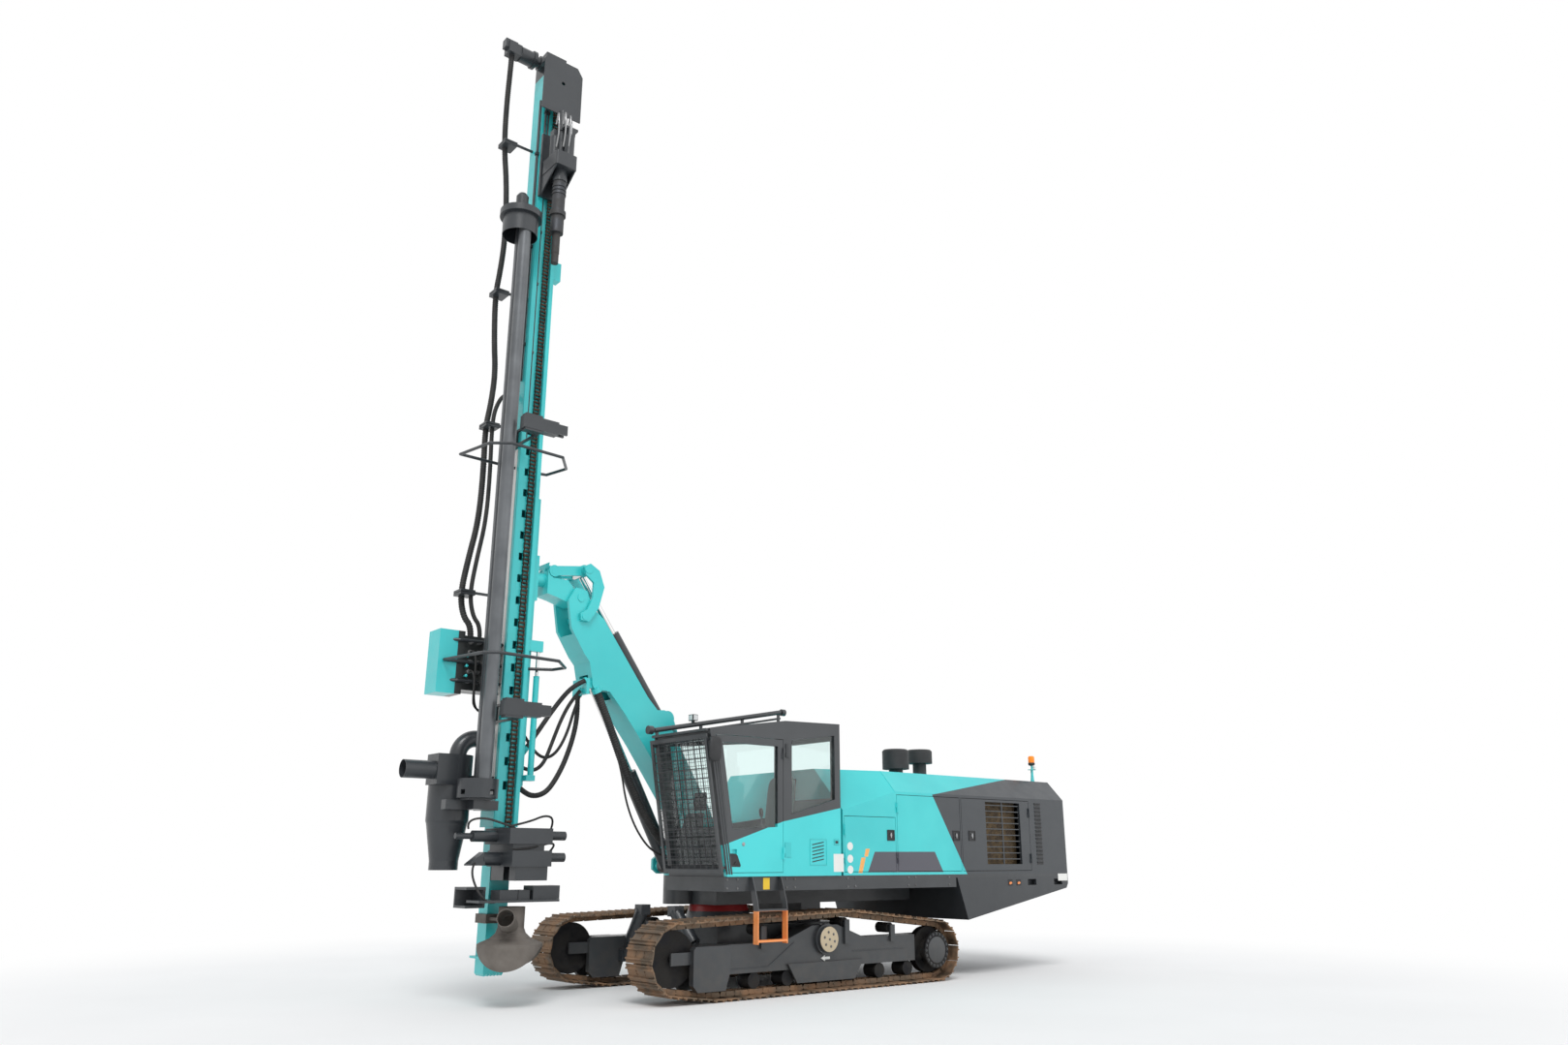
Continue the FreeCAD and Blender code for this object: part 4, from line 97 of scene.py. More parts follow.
sight = Vector((
    -math.sin(CAMERA_YAW) * math.cos(CAMERA_RISE),
    -math.cos(CAMERA_YAW) * math.cos(CAMERA_RISE),
    math.sin(CAMERA_RISE),
))
camera = keep_object("camera", bpy.data.cameras.new("camera"))
camera.location = CAMERA_PLACE
camera.rotation_euler = sight.to_track_quat("-Z", "Y").to_euler()
camera.data.sensor_width = CAMERA_SENSOR
camera.data.lens = CAMERA_LENS
camera.data.clip_end = SIGHT_LIMIT
bpy.context.scene.camera = camera
print("camera looks up by", round(math.degrees(CAMERA_RISE), 1), "degrees")

# %% [markdown]
# ## The free hoses
#
# Six hoses hang free: four loop from the boom down to the mast's cradle, and a thick bundle and a thin hose
# come down the lift cylinders. A hydraulic hose is stiff and heavy, so it leaves its fitting straight and
# then sags in one long bend. A NURBS spline with a handful of control points draws just such a bend.

# %% Draw the free hoses
# name: (radius, control points)
HOSE_ROUTES = {
    "upper": (0.028, [
        (2.508, -0.117, 3.338), (2.630, -0.119, 3.275), (2.747, -0.145, 3.150), (2.889, -0.190, 2.930),
        (3.010, -0.232, 2.715), (3.100, -0.262, 2.570),
    ]),
    "middle": (0.022, [
        (2.518, -0.190, 3.230), (2.616, -0.192, 3.118), (2.722, -0.213, 2.906), (2.825, -0.235, 2.590),
        (2.880, -0.246, 2.430), (2.950, -0.260, 2.345), (3.040, -0.276, 2.322), (3.128, -0.290, 2.354),
    ]),
    "inner": (0.018, [
        (2.486, -0.248, 3.180), (2.540, -0.250, 3.040), (2.610, -0.262, 2.760), (2.700, -0.285, 2.560),
        (2.800, -0.302, 2.475), (2.900, -0.312, 2.480), (3.005, -0.322, 2.568), (3.103, -0.330, 2.702),
    ]),
    "lower": (0.030, [
        (2.476, -0.312, 3.182), (2.462, -0.312, 3.010), (2.492, -0.318, 2.750), (2.585, -0.325, 2.450),
        (2.690, -0.331, 2.240), (2.785, -0.336, 2.112), (2.900, -0.341, 2.060), (3.020, -0.346, 2.072),
        (3.112, -0.350, 2.142),
    ]),
    "bundle": (0.048, [
        (2.345, -0.095, 3.212), (2.216, -0.092, 2.959), (2.045, -0.090, 2.590), (1.893, -0.090, 2.273),
        (1.716, -0.090, 1.960), (1.520, -0.090, 1.700), (1.372, -0.088, 1.560),
    ]),
    "thin": (0.012, [
        (2.098, -0.031, 2.560), (2.030, -0.010, 2.330), (1.975, 0.000, 2.040), (1.850, 0.000, 1.764),
        (1.680, 0.000, 1.552), (1.530, -0.005, 1.462), (1.380, -0.020, 1.420),
    ]),
}


def curve_object(name, runs, kind="NURBS", resolution=12, closed=False):
    """A bare curve: smooth runs near their control points (NURBS), or straight ones through them (POLY)."""
    curve = bpy.data.curves.new(name, "CURVE")
    curve.dimensions = "3D"
    for places in runs:
        run = curve.splines.new(kind)
        run.points.add(len(places) - 1)
        for point, place in zip(run.points, places):
            point.co = (*place, 1.0)
        if kind == "NURBS":
            run.order_u = 3
            run.use_endpoint_u = True
        run.resolution_u = resolution
        run.use_cyclic_u = closed
    return keep_object(name, curve)


free_hoses = {}
for hose_name, (hose_radius, hose_points) in HOSE_ROUTES.items():
    free_hoses[hose_name] = curve_object("free_hose_" + hose_name, [hose_points])
print("free hoses:", ", ".join(sorted(free_hoses)))

# %% [markdown]
# ## Small helpers for node trees
#
# Materials and Geometry Nodes are both trees of nodes. One helper places a node and feeds its sockets, either
# with a value or with another node's output. Another runs a finished Geometry Nodes tree on an object and
# keeps the result as a plain mesh, because exported models can't carry modifiers or instances.

# %% Helpers for node trees
def add(tree, kind, inputs=None, **settings):
    """One node of a tree, its settings, and what feeds its sockets."""
    node = tree.nodes.new(kind)
    for key, value in settings.items():
        setattr(node, key, value)
    for key, value in (inputs or {}).items():
        if isinstance(value, bpy.types.NodeSocket):
            tree.links.new(value, node.inputs[key])
        else:
            node.inputs[key].default_value = value
    return node


def math_node(tree, operation, first, second=0.0, clamp=False):
    """A sum on two numbers or sockets; gives the result's socket."""
    return add(tree, "ShaderNodeMath", {0: first, 1: second}, operation=operation, use_clamp=clamp).outputs[0]


SOCKETS = {float: "NodeSocketFloat", int: "NodeSocketInt", tuple: "NodeSocketVector"}


def geometry_tree(name, sizes):
    """An empty Geometry Nodes tree with a named input for each size; gives tree, input node, output node."""
    tree = bpy.data.node_groups.new(name, "GeometryNodeTree")
    face = tree.interface
    face.new_socket("Geometry", in_out="INPUT", socket_type="NodeSocketGeometry")
    for label, value in sizes.items():
        socket = face.new_socket(label, in_out="INPUT", socket_type=SOCKETS[type(value)])
        socket.default_value = value
    face.new_socket("Material", in_out="INPUT", socket_type="NodeSocketMaterial")
    face.new_socket("Geometry", in_out="OUTPUT", socket_type="NodeSocketGeometry")
    return tree, tree.nodes.new("NodeGroupInput"), tree.nodes.new("NodeGroupOutput")


def run_tree(source, tree, name, material, **sizes):
    """The tree's result on a source object, as a plain mesh object; the source goes."""
    modifier = source.modifiers.new("tree", "NODES")
    modifier.node_group = tree
    for item in tree.interface.items_tree:
        if item.in_out == "INPUT" and item.name in sizes:
            modifier[item.identifier] = sizes[item.name]
        if item.in_out == "INPUT" and item.name == "Material":
            modifier[item.identifier] = material
    graph = bpy.context.evaluated_depsgraph_get()
    mesh = bpy.data.meshes.new_from_object(source.evaluated_get(graph))
    mesh.name = name
    bpy.data.objects.remove(source)
    return keep_object(name, mesh)


def finish_tree(tree, given, result, geometry):
    """Every tree ends alike: instances made real, then the material."""
    real = add(tree, "GeometryNodeRealizeInstances", {0: geometry})
    dressed = add(tree, "GeometryNodeSetMaterial",
                  {"Geometry": real.outputs[0], "Material": given.outputs["Material"]})
    tree.links.new(dressed.outputs[0], result.inputs[0])
    return tree


def fit(piece, body, replaced=None):
    """A finished piece rides on its body and stands for a solid if it does."""
    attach(piece, body)
    if replaced:
        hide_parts(replaced)
    return piece


print("tree helpers ready")


# %% [markdown]
# ## Paint and other finishes
#
# Enamel on a working machine is never one colour. It fades in broad clouds, its skin has a fine orange peel,
# and dust settles on it low down. Each paint mixes two close shades with a cloudy noise, lets dust in by
# height, and carries the orange peel as bump. All patterns read Object coordinates, so they stay in place on
# the metal.

# %% Make the paints
def shade(red, green, blue):
    """A colour as the eye sees it, 0 to 255, as the linear value that a shader wants."""
    def linear(value):
        value /= 255.0
        return value / 12.92 if value <= 0.04045 else ((value + 0.055) / 1.055) ** 2.4
    return (linear(red), linear(green), linear(blue), 1.0)


def new_finish(name):
    """An empty material: its tree, its shader and the object's coordinates."""
    material = bpy.data.materials.new(name)
    material.use_nodes = True
    tree = material.node_tree
    place = add(tree, "ShaderNodeTexCoord").outputs["Object"]
    return material, tree, tree.nodes["Principled BSDF"], place


def noise(tree, place, scale, detail=3.0, low=0.35, high=0.65):
    """Cloudy noise, stretched to run from 0 to 1."""
    cloud = add(tree, "ShaderNodeTexNoise", {"Vector": place, "Scale": scale, "Detail": detail})
    return add(tree, "ShaderNodeMapRange", {0: cloud.outputs[0], 1: low, 2: high, 3: 0.0, 4: 1.0}).outputs[0]


def mix(tree, share, first, second):
    """A blend of two colours by a share from 0 to 1."""
    blend = add(tree, "ShaderNodeMix", {0: share, 6: first, 7: second}, data_type="RGBA")
    return blend.outputs[2]


def axes_of(tree, place):
    """The X, Y and Z of a place, as sockets."""
    return add(tree, "ShaderNodeSeparateXYZ", {0: place}).outputs


def height_share(tree, place, low_z, high_z):
    """1 at low_z and under, 0 at high_z and over."""
    z = axes_of(tree, place)[2]
    return add(tree, "ShaderNodeMapRange", {0: z, 1: low_z, 2: high_z, 3: 1.0, 4: 0.0}).outputs[0]


def bump(tree, height, strength, distance):
    """Bump from a height pattern; gives the normal's socket."""
    return add(tree, "ShaderNodeBump",
               {"Strength": strength, "Distance": distance, "Height": height}).outputs[0]


DUST = shade(150, 132, 110)


def paint(name, colour, deep, roughness=0.35, dust=0.0, dust_top=1.2, colour_maker=None):
    """Enamel: two close shades in clouds, dust low down, orange peel."""
    material, tree, shader, place = new_finish(name)
    base = mix(tree, noise(tree, place, 1.1), colour, deep)
    if colour_maker:
        base = colour_maker(tree, place, base)
    rough = math_node(tree, "ADD", roughness, math_node(tree, "MULTIPLY", noise(tree, place, 6.0), 0.10))
    if dust:
        low_down = height_share(tree, place, 0.0, dust_top)
        patchy = math_node(tree, "MULTIPLY", low_down, noise(tree, place, 9.0, 6.0, 0.3, 0.7))
        share = math_node(tree, "MULTIPLY", patchy, dust, clamp=True)
        base = mix(tree, share, base, DUST)
        rough = math_node(tree, "ADD", rough, math_node(tree, "MULTIPLY", share, 0.35), clamp=True)
    tree.links.new(base, shader.inputs["Base Color"])
    tree.links.new(rough, shader.inputs["Roughness"])
    peel = noise(tree, place, 140.0, 2.0)
    tree.links.new(bump(tree, peel, 0.08, 0.002), shader.inputs["Normal"])
    shader.inputs["Coat Weight"].default_value = 0.25
    shader.inputs["Coat Roughness"].default_value = 0.15
    return material


# the line between turquoise and grey: its corner (x, z), its run down the wall and its run up the chamfer
COLOUR_CORNER = (-1.765, 2.176)
WALL_RUN = -0.626
CHAMFER_RUN = 6.4
LINE_SHARPNESS = 400.0
HOUSE_GREY = shade(47, 52, 57)


def house_colours(tree, place, turquoise):
    """Turquoise forward, dark grey behind a slanted line that turns forward again up the chamfer."""
    axes = axes_of(tree, place)
    above = math_node(tree, "SUBTRACT", axes[2], COLOUR_CORNER[1])
    down_wall = math_node(tree, "MULTIPLY", above, WALL_RUN)
    up_chamfer = math_node(tree, "MULTIPLY", above, CHAMFER_RUN)
    run = math_node(tree, "MAXIMUM", down_wall, up_chamfer)
    line = math_node(tree, "SUBTRACT", COLOUR_CORNER[0], run)
    distance = math_node(tree, "SUBTRACT", line, axes[0])
    behind = math_node(tree, "MULTIPLY", distance, LINE_SHARPNESS, clamp=True)
    return mix(tree, behind, turquoise, HOUSE_GREY)


# each pair: the paint's main shade and its deeper one
TURQUOISE = shade(62, 205, 206), shade(52, 194, 197)
FRAME_GREY = shade(56, 59, 62), shade(48, 51, 54)
CAB_GREY = shade(60, 63, 66), shade(52, 55, 58)
ORANGE = shade(243, 150, 84)
turquoise_paint = paint("turquoise_paint", *TURQUOISE, 0.3)
grey_paint = paint("grey_paint", shade(48, 52, 56), shade(41, 45, 49), 0.36)
frame_paint = paint("frame_paint", *FRAME_GREY, 0.42, dust=0.10, dust_top=0.7)
cab_paint = paint("cab_paint", *CAB_GREY, 0.35)
orange_paint = paint("orange_paint", ORANGE, shade(232, 136, 70), 0.4)
beige_paint = paint("beige_paint", shade(200, 186, 158), shade(186, 170, 142), 0.5)
white_paint = paint("white_paint", shade(236, 236, 232), shade(226, 226, 222), 0.35)
print("paints:", len(bpy.data.materials))

# %% [markdown]
# Metals, rubber, glass and cloth each have their own surface: tracks rust where they don't rub, rods are dark
# and brushed along their length, chrome is nearly a mirror, and a hose's sleeve is matt and dusty.

# %% Make the other finishes
def worn_metal(name, bare, rust, roughness, rust_scale):
    """Metal with patches of rust or dirt and a pitted skin."""
    material, tree, shader, place = new_finish(name)
    patches = noise(tree, place, rust_scale, 8.0, 0.4, 0.6)
    tree.links.new(mix(tree, patches, bare, rust), shader.inputs["Base Color"])
    metal = math_node(tree, "SUBTRACT", 0.85, math_node(tree, "MULTIPLY", patches, 0.8), clamp=True)
    tree.links.new(metal, shader.inputs["Metallic"])
    rough = math_node(tree, "ADD", roughness, math_node(tree, "MULTIPLY", patches, 0.3), clamp=True)
    tree.links.new(rough, shader.inputs["Roughness"])
    pits = noise(tree, place, 60.0, 6.0, 0.3, 0.7)
    tree.links.new(bump(tree, pits, 0.25, 0.003), shader.inputs["Normal"])
    return material


def drawn_metal(name, colour, deep, roughness, metallic):
    """Turned or ground metal: fine marks that run round it, so they are thin along Z."""
    material, tree, shader, place = new_finish(name)
    squeezed = add(tree, "ShaderNodeMapping", {"Vector": place, "Scale": (0.05, 0.05, 1.0)}).outputs[0]
    marks = noise(tree, squeezed, 220.0, 2.0)
    tree.links.new(mix(tree, noise(tree, place, 2.5), colour, deep), shader.inputs["Base Color"])
    rough = math_node(tree, "ADD", roughness, math_node(tree, "MULTIPLY", marks, 0.08))
    tree.links.new(rough, shader.inputs["Roughness"])
    tree.links.new(bump(tree, marks, 0.05, 0.001), shader.inputs["Normal"])
    shader.inputs["Metallic"].default_value = metallic
    return material


def moulded(name, colour, deep, roughness, grain=500.0, strength=0.15):
    """Plastic or rubber with a fine grained skin."""
    material, tree, shader, place = new_finish(name)
    tree.links.new(mix(tree, noise(tree, place, 5.0), colour, deep), shader.inputs["Base Color"])
    rough = math_node(tree, "ADD", roughness, math_node(tree, "MULTIPLY", noise(tree, place, 12.0), 0.12),
                      clamp=True)
    tree.links.new(rough, shader.inputs["Roughness"])
    tree.links.new(bump(tree, noise(tree, place, grain, 2.0), strength, 0.001), shader.inputs["Normal"])
    return material


def woven(name, colour, deep):
    """Seat cloth: a fine cross weave with a soft sheen."""
    material, tree, shader, place = new_finish(name)
    across = add(tree, "ShaderNodeTexWave", {"Vector": place, "Scale": 120.0}, bands_direction="Y").outputs[1]
    along = add(tree, "ShaderNodeTexWave", {"Vector": place, "Scale": 120.0}, bands_direction="Z").outputs[1]
    weave = math_node(tree, "MULTIPLY", across, along)
    tree.links.new(mix(tree, noise(tree, place, 14.0), colour, deep), shader.inputs["Base Color"])
    tree.links.new(bump(tree, weave, 0.4, 0.002), shader.inputs["Normal"])
    shader.inputs["Roughness"].default_value = 0.9
    shader.inputs["Sheen Weight"].default_value = 0.3
    return material


def clear_pane(name, tint):
    """Flat safety glass: clear, faintly green, with a film of dust that thickens in clouds."""
    material, tree, shader, place = new_finish(name)
    shader.inputs["Base Color"].default_value = tint
    shader.inputs["Transmission Weight"].default_value = 1.0
    shader.inputs["IOR"].default_value = 1.45
    film = math_node(tree, "MULTIPLY", noise(tree, place, 1.6), 0.015)
    tree.links.new(film, shader.inputs["Roughness"])
    return material


def lens(name, colour, glow):
    """A lamp lens with upright flutes, lit a little so that it reads as a lamp."""
    material, tree, shader, place = new_finish(name)
    flutes = add(tree, "ShaderNodeTexWave", {"Vector": place, "Scale": 60.0}, bands_direction="X").outputs[1]
    tree.links.new(mix(tree, noise(tree, place, 30.0), colour, tuple(c * 0.8 for c in colour[:3]) + (1.0,)),
                   shader.inputs["Base Color"])
    tree.links.new(bump(tree, flutes, 0.3, 0.001), shader.inputs["Normal"])
    shader.inputs["Roughness"].default_value = 0.15
    shader.inputs["Emission Color"].default_value = colour
    shader.inputs["Emission Strength"].default_value = glow
    return material


track_steel = worn_metal("track_steel", shade(112, 98, 84), shade(138, 108, 82), 0.5, 5.0)
chain_steel = worn_metal("chain_steel", shade(62, 54, 48), shade(78, 56, 40), 0.42, 9.0)
cast_steel = worn_metal("cast_steel", shade(74, 76, 80), shade(60, 58, 56), 0.45, 4.0)
# The wheels' steel is nearly black: painted shade for the shadow that falls on the wheels inside the track
# loop.
wheel_steel_painted_shade = worn_metal("wheel_steel_painted_shade", shade(40, 40, 42), shade(34, 32, 30), 0.55, 6.0)
cooler_steel = worn_metal("cooler_steel", shade(104, 88, 66), shade(70, 58, 44), 0.55, 10.0)
bolt_steel = worn_metal("bolt_steel", shade(120, 122, 124), shade(84, 82, 80), 0.4, 20.0)
rod_steel = drawn_metal("rod_steel", shade(110, 113, 116), shade(92, 95, 98), 0.34, 0.55)
chrome = drawn_metal("chrome", shade(226, 226, 228), shade(214, 212, 210), 0.08, 1.0)
bare_steel = drawn_metal("bare_steel", shade(176, 178, 180), shade(150, 150, 150), 0.25, 0.9)
sleeve_rubber = moulded("sleeve_rubber", shade(34, 34, 35), shade(46, 45, 44), 0.62)
hood_rubber = moulded("hood_rubber", shade(112, 106, 100), shade(94, 88, 82), 0.7, 120.0, 0.3)
black_plastic = moulded("black_plastic", shade(44, 45, 47), shade(36, 37, 39), 0.5)
console_plastic = moulded("console_plastic", shade(70, 72, 74), shade(58, 60, 62), 0.55)
seat_cloth = woven("seat_cloth", shade(112, 124, 122), shade(94, 106, 104))
pane_glass = clear_pane("pane_glass", (0.86, 0.95, 0.94, 1.0))
amber_lens = lens("amber_lens", shade(255, 140, 28), 0.25)
print("finishes:", len(bpy.data.materials))

# %% [markdown]
# ## Put the finishes on the CAD solids
#
# The solids keep their shape and place. Each gets the finish of the real piece in its only material slot. The
# house, the cab, the ladder, the pedestal and the valve box wear two colours; they get those further down.

# %% Dress the CAD solids
FINISHES = {
    "track_left": track_steel, "track_right": track_steel,
    "track_wheels_left": wheel_steel_painted_shade, "track_wheels_right": wheel_steel_painted_shade,
    "track_frame_left": frame_paint, "track_frame_right": frame_paint,
    "carbody": frame_paint, "main_frame": frame_paint, "counterweight": grey_paint,
    "side_cylinders": grey_paint, "ladder": grey_paint,
    "engine_house": turquoise_paint, "house_door_left_front": turquoise_paint,
    "house_door_left_middle": turquoise_paint, "house_door_left_rear": turquoise_paint,
    "house_door_right_middle": turquoise_paint, "house_door_right_rear": turquoise_paint,
    "engine_and_coolers": cooler_steel, "air_intakes": black_plastic, "beacon": amber_lens,
    "cab_shell": cab_paint, "cab_glass": pane_glass, "cab_interior": console_plastic, "cab_guards": cab_paint,
    "cab_door": cab_paint, "cab_door_glass": pane_glass, "service_tank": turquoise_paint,
    "swing_post": turquoise_paint, "lift_cylinder_barrel": grey_paint, "lift_cylinder_rod": chrome,
    "boom": turquoise_paint, "tilt_cylinder_barrel": grey_paint, "tilt_cylinder_rod": chrome,
    "rocker_link": turquoise_paint, "push_link": turquoise_paint, "holder": turquoise_paint,
    "cradle": turquoise_paint, "slide_cylinder_rod": chrome, "mast": turquoise_paint,
    "feed_chain": chain_steel, "mast_head": grey_paint, "carousel_frame": grey_paint,
    "clamp_table": grey_paint, "centraliser": grey_paint, "cyclone": grey_paint, "valve_box": turquoise_paint,
    "guard_hoops": grey_paint, "mast_hoses": sleeve_rubber, "drill_head": grey_paint, "spindle": cast_steel,
    "carousel_drum": grey_paint, "drill_rods": rod_steel, "rod_arms": grey_paint, "dust_hood": hood_rubber,
}
for node_name, finish in FINISHES.items():
    slots = nodes[node_name].data.materials
    slots.clear()
    slots.append(finish)
print("dressed:", len(FINISHES), "solids of", len(nodes))

# %% [markdown]
# ## Ribbed sleeves on the free hoses
#
# These hoses wear a spiral guard, so their skin rises and falls in close rings. A Geometry Nodes tree walks
# along the curve in small equal steps, swings the radius up and down with the distance walked, and sweeps a
# circle along it.

# %% Build the sleeve tree
def sleeve_tree():
    """Curve in, ribbed tube out."""
    sizes = {"Radius": 0.03, "Rib pitch": 0.02, "Rib depth": 0.004, "Sides": 14}
    tree, given, result = geometry_tree("ribbed_sleeve", sizes)
    step = math_node(tree, "DIVIDE", given.outputs["Rib pitch"], 4.0)
    walked = add(tree, "GeometryNodeResampleCurve", {"Curve": given.outputs[0], "Length": step},
                 mode="LENGTH")
    along = add(tree, "GeometryNodeSplineParameter").outputs["Length"]
    turns = math_node(tree, "DIVIDE", along, given.outputs["Rib pitch"])
    wave = math_node(tree, "COSINE", math_node(tree, "MULTIPLY", turns, 2.0 * math.pi))
    half_depth = math_node(tree, "MULTIPLY", given.outputs["Rib depth"], 0.5)
    middle = math_node(tree, "SUBTRACT", given.outputs["Radius"], half_depth)
    radius = math_node(tree, "ADD", middle, math_node(tree, "MULTIPLY", wave, half_depth))
    sized = add(tree, "GeometryNodeSetCurveRadius", {"Curve": walked.outputs[0], "Radius": radius})
    ring = add(tree, "GeometryNodeCurvePrimitiveCircle",
               {"Resolution": given.outputs["Sides"], "Radius": 1.0})
    tube = add(tree, "GeometryNodeCurveToMesh",
               {"Curve": sized.outputs[0], "Profile Curve": ring.outputs[0], "Fill Caps": True})
    if "Scale" in tube.inputs:
        tree.links.new(radius, tube.inputs["Scale"])
    smooth = add(tree, "GeometryNodeSetShadeSmooth", {0: tube.outputs[0]})
    return finish_tree(tree, given, result, smooth.outputs[0])


sleeve = sleeve_tree()

# %% [markdown]
# The tree gives a plain mesh, and the hose's centre line is read from the bare spline. Each hose crosses one
# joint, with the boom at one end and the far body at the other.

# %% Sleeve the free hoses
RIB_PITCH_SHARE = 0.55
RIB_DEPTH_SHARE = 0.13


def centre_line(curve_object):
    """The points of a curve that has no bevel."""
    graph = bpy.context.evaluated_depsgraph_get()
    line = bpy.data.meshes.new_from_object(curve_object.evaluated_get(graph))
    points = [tuple(v.co) for v in line.vertices]
    bpy.data.meshes.remove(line)
    return points


for hose_name, (hose_radius, hose_points) in HOSE_ROUTES.items():
    bare = free_hoses[hose_name]
    path = centre_line(bare)
    piece = run_tree(bare, sleeve, "free_hose_" + hose_name + "_sleeve", sleeve_rubber, Radius=hose_radius,
                     **{"Rib pitch": hose_radius * RIB_PITCH_SHARE,
                        "Rib depth": hose_radius * RIB_DEPTH_SHARE, "Sides": 16})
    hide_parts("hose_" + hose_name)
    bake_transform(piece)
    print("hose", hose_name, len(piece.data.polygons), "faces")

# %% [markdown]
# ## A kit for one-off metal pieces
#
# Brackets, plates and pipes that occur once or twice are quickest as plain mesh code. Things that repeat,
# such as bolts, wires and chain links, are left to Geometry Nodes.

# %% Helpers for one-off pieces
SHARP_SHADING = math.radians(32.0)
SHARP_EDGE = 0.6


def mark_sharp(mesh):
    """Smooth shading, broken where two faces meet at more than an angle."""
    work = bmesh.new()
    work.from_mesh(mesh)
    for face in work.faces:
        face.smooth = True
    for edge in work.edges:
        if len(edge.link_faces) == 2:
            edge.smooth = edge.calc_face_angle(0.0) < SHARP_SHADING
    work.to_mesh(mesh)
    work.free()


def across(direction):
    """Two directions square to one another and to a third."""
    along = Vector(direction).normalized()
    side = along.orthogonal().normalized()
    return side, along.cross(side)


def circle_places(middle, one, two, radius, sides):
    """Points evenly round a circle that two directions span."""
    turns = [2 * math.pi * index / sides for index in range(sides)]
    return [middle + (one * math.cos(turn) + two * math.sin(turn)) * radius for turn in turns]


class Shape:
    """Blocks, prisms and bars gathered in one mesh. Each call gives the shape back, so calls can chain."""

    def __init__(self):
        self.work = bmesh.new()

    def skin(self, rings):
        """Joins rings of points into a closed tube; each ring has the same count."""
        loops = [[self.work.verts.new(point) for point in ring] for ring in rings]
        count = len(loops[0])
        for first, second in zip(loops, loops[1:]):
            for index in range(count):
                after = (index + 1) % count
                self.work.faces.new((first[index], first[after], second[after], second[index]))
        self.work.faces.new(list(reversed(loops[0])))
        self.work.faces.new(loops[-1])
        return self

    def block(self, low, high):
        """A box between two corners."""
        (x0, y0, z0), (x1, y1, z1) = low, high
        ring = [(x0, y0), (x1, y0), (x1, y1), (x0, y1)]
        return self.skin([[(x, y, z0) for x, y in ring], [(x, y, z1) for x, y in ring]])

    def prism(self, outline, axis, low, high):
        """An outline swept along an axis; for Y the outline is (x, z), for X (y, z), for Z (x, y)."""
        place = {"X": lambda a, b, c: (c, a, b), "Y": lambda a, b, c: (a, c, b),
                 "Z": lambda a, b, c: (a, b, c)}[axis]
        return self.skin([[place(a, b, low) for a, b in outline], [place(a, b, high) for a, b in outline]])

    def bar(self, start, end, radius, sides=20):
        """A round bar between two points."""
        start, end = Vector(start), Vector(end)
        one, two = across(end - start)
        return self.skin([circle_places(place, one, two, radius, sides) for place in (start, end)])

    def turned(self, start, direction, profile, sides=28):
        """A turned piece: (distance along, radius) steps from a start point."""
        one, two = across(direction)
        along = Vector(direction).normalized()
        return self.skin([circle_places(Vector(start) + along * distance, one, two, radius, sides)
                          for distance, radius in profile])

    def mesh(self, name, bevel=0.0):
        """The gathered solids as a mesh: faces outwards, sharp edges softened by the bevel."""
        bmesh.ops.recalc_face_normals(self.work, faces=self.work.faces)
        if bevel:
            sharp = [e for e in self.work.edges
                     if len(e.link_faces) == 2 and e.calc_face_angle(0.0) > SHARP_EDGE]
            bmesh.ops.bevel(self.work, geom=sharp, offset=bevel, segments=2, affect="EDGES",
                            clamp_overlap=True)
        mesh = bpy.data.meshes.new(name)
        self.work.to_mesh(mesh)
        self.work.free()
        mark_sharp(mesh)
        return mesh

    def finish(self, name, body, finish, slot, bevel=0.0, replaced=None):
        """The gathered solids as one piece that rides on a body."""
        return fit(keep_object(name, self.mesh(name, bevel), finish), body, replaced)


print("kit ready")

# %% [markdown]
# Bolts are everywhere on such a rig. One small tree sets a six-sided head, with a washer under it, on every
# point of a mesh that has only points. The heads stand along a given direction.

# %% Build the bolt tree
def bolt_tree():
    """Points in, bolt heads out."""
    sizes = {"Radius": 0.012, "Height": 0.01, "Turn": (0.0, 0.0, 0.0)}
    tree, given, result = geometry_tree("bolt_heads", sizes)
    half = math_node(tree, "MULTIPLY", given.outputs["Height"], 0.5)
    up = add(tree, "ShaderNodeCombineXYZ", {2: half}).outputs[0]
    head = add(tree, "GeometryNodeMeshCylinder",
               {"Vertices": 6, "Radius": given.outputs["Radius"], "Depth": given.outputs["Height"]})
    raised = add(tree, "GeometryNodeTransform", {"Geometry": head.outputs[0], "Translation": up})
    wide = math_node(tree, "MULTIPLY", given.outputs["Radius"], 1.45)
    thin = math_node(tree, "MULTIPLY", given.outputs["Height"], 0.4)
    washer = add(tree, "GeometryNodeMeshCylinder", {"Vertices": 14, "Radius": wide, "Depth": thin})
    both = add(tree, "GeometryNodeJoinGeometry")
    tree.links.new(raised.outputs[0], both.inputs[0])
    tree.links.new(washer.outputs[0], both.inputs[0])
    turned = add(tree, "GeometryNodeTransform",
                 {"Geometry": both.outputs[0], "Rotation": given.outputs["Turn"]})
    set_out = add(tree, "GeometryNodeInstanceOnPoints",
                  {"Points": given.outputs[0], "Instance": turned.outputs[0]})
    return finish_tree(tree, given, result, set_out.outputs[0])


bolt_heads = bolt_tree()
TURNS = {"Y": (-math.pi / 2, 0.0, 0.0), "-Y": (math.pi / 2, 0.0, 0.0)}


def bolts(name, body, points, facing, radius, height, finish=bolt_steel):
    """Bolt heads on a list of points, all facing one way."""
    mesh = bpy.data.meshes.new(name + "_places")
    mesh.from_pydata([tuple(p) for p in points], [], [])
    piece = run_tree(keep_object(name + "_places", mesh), bolt_heads, name, finish, Radius=radius,
                     Height=height, Turn=TURNS[facing])
    return fit(piece, body)


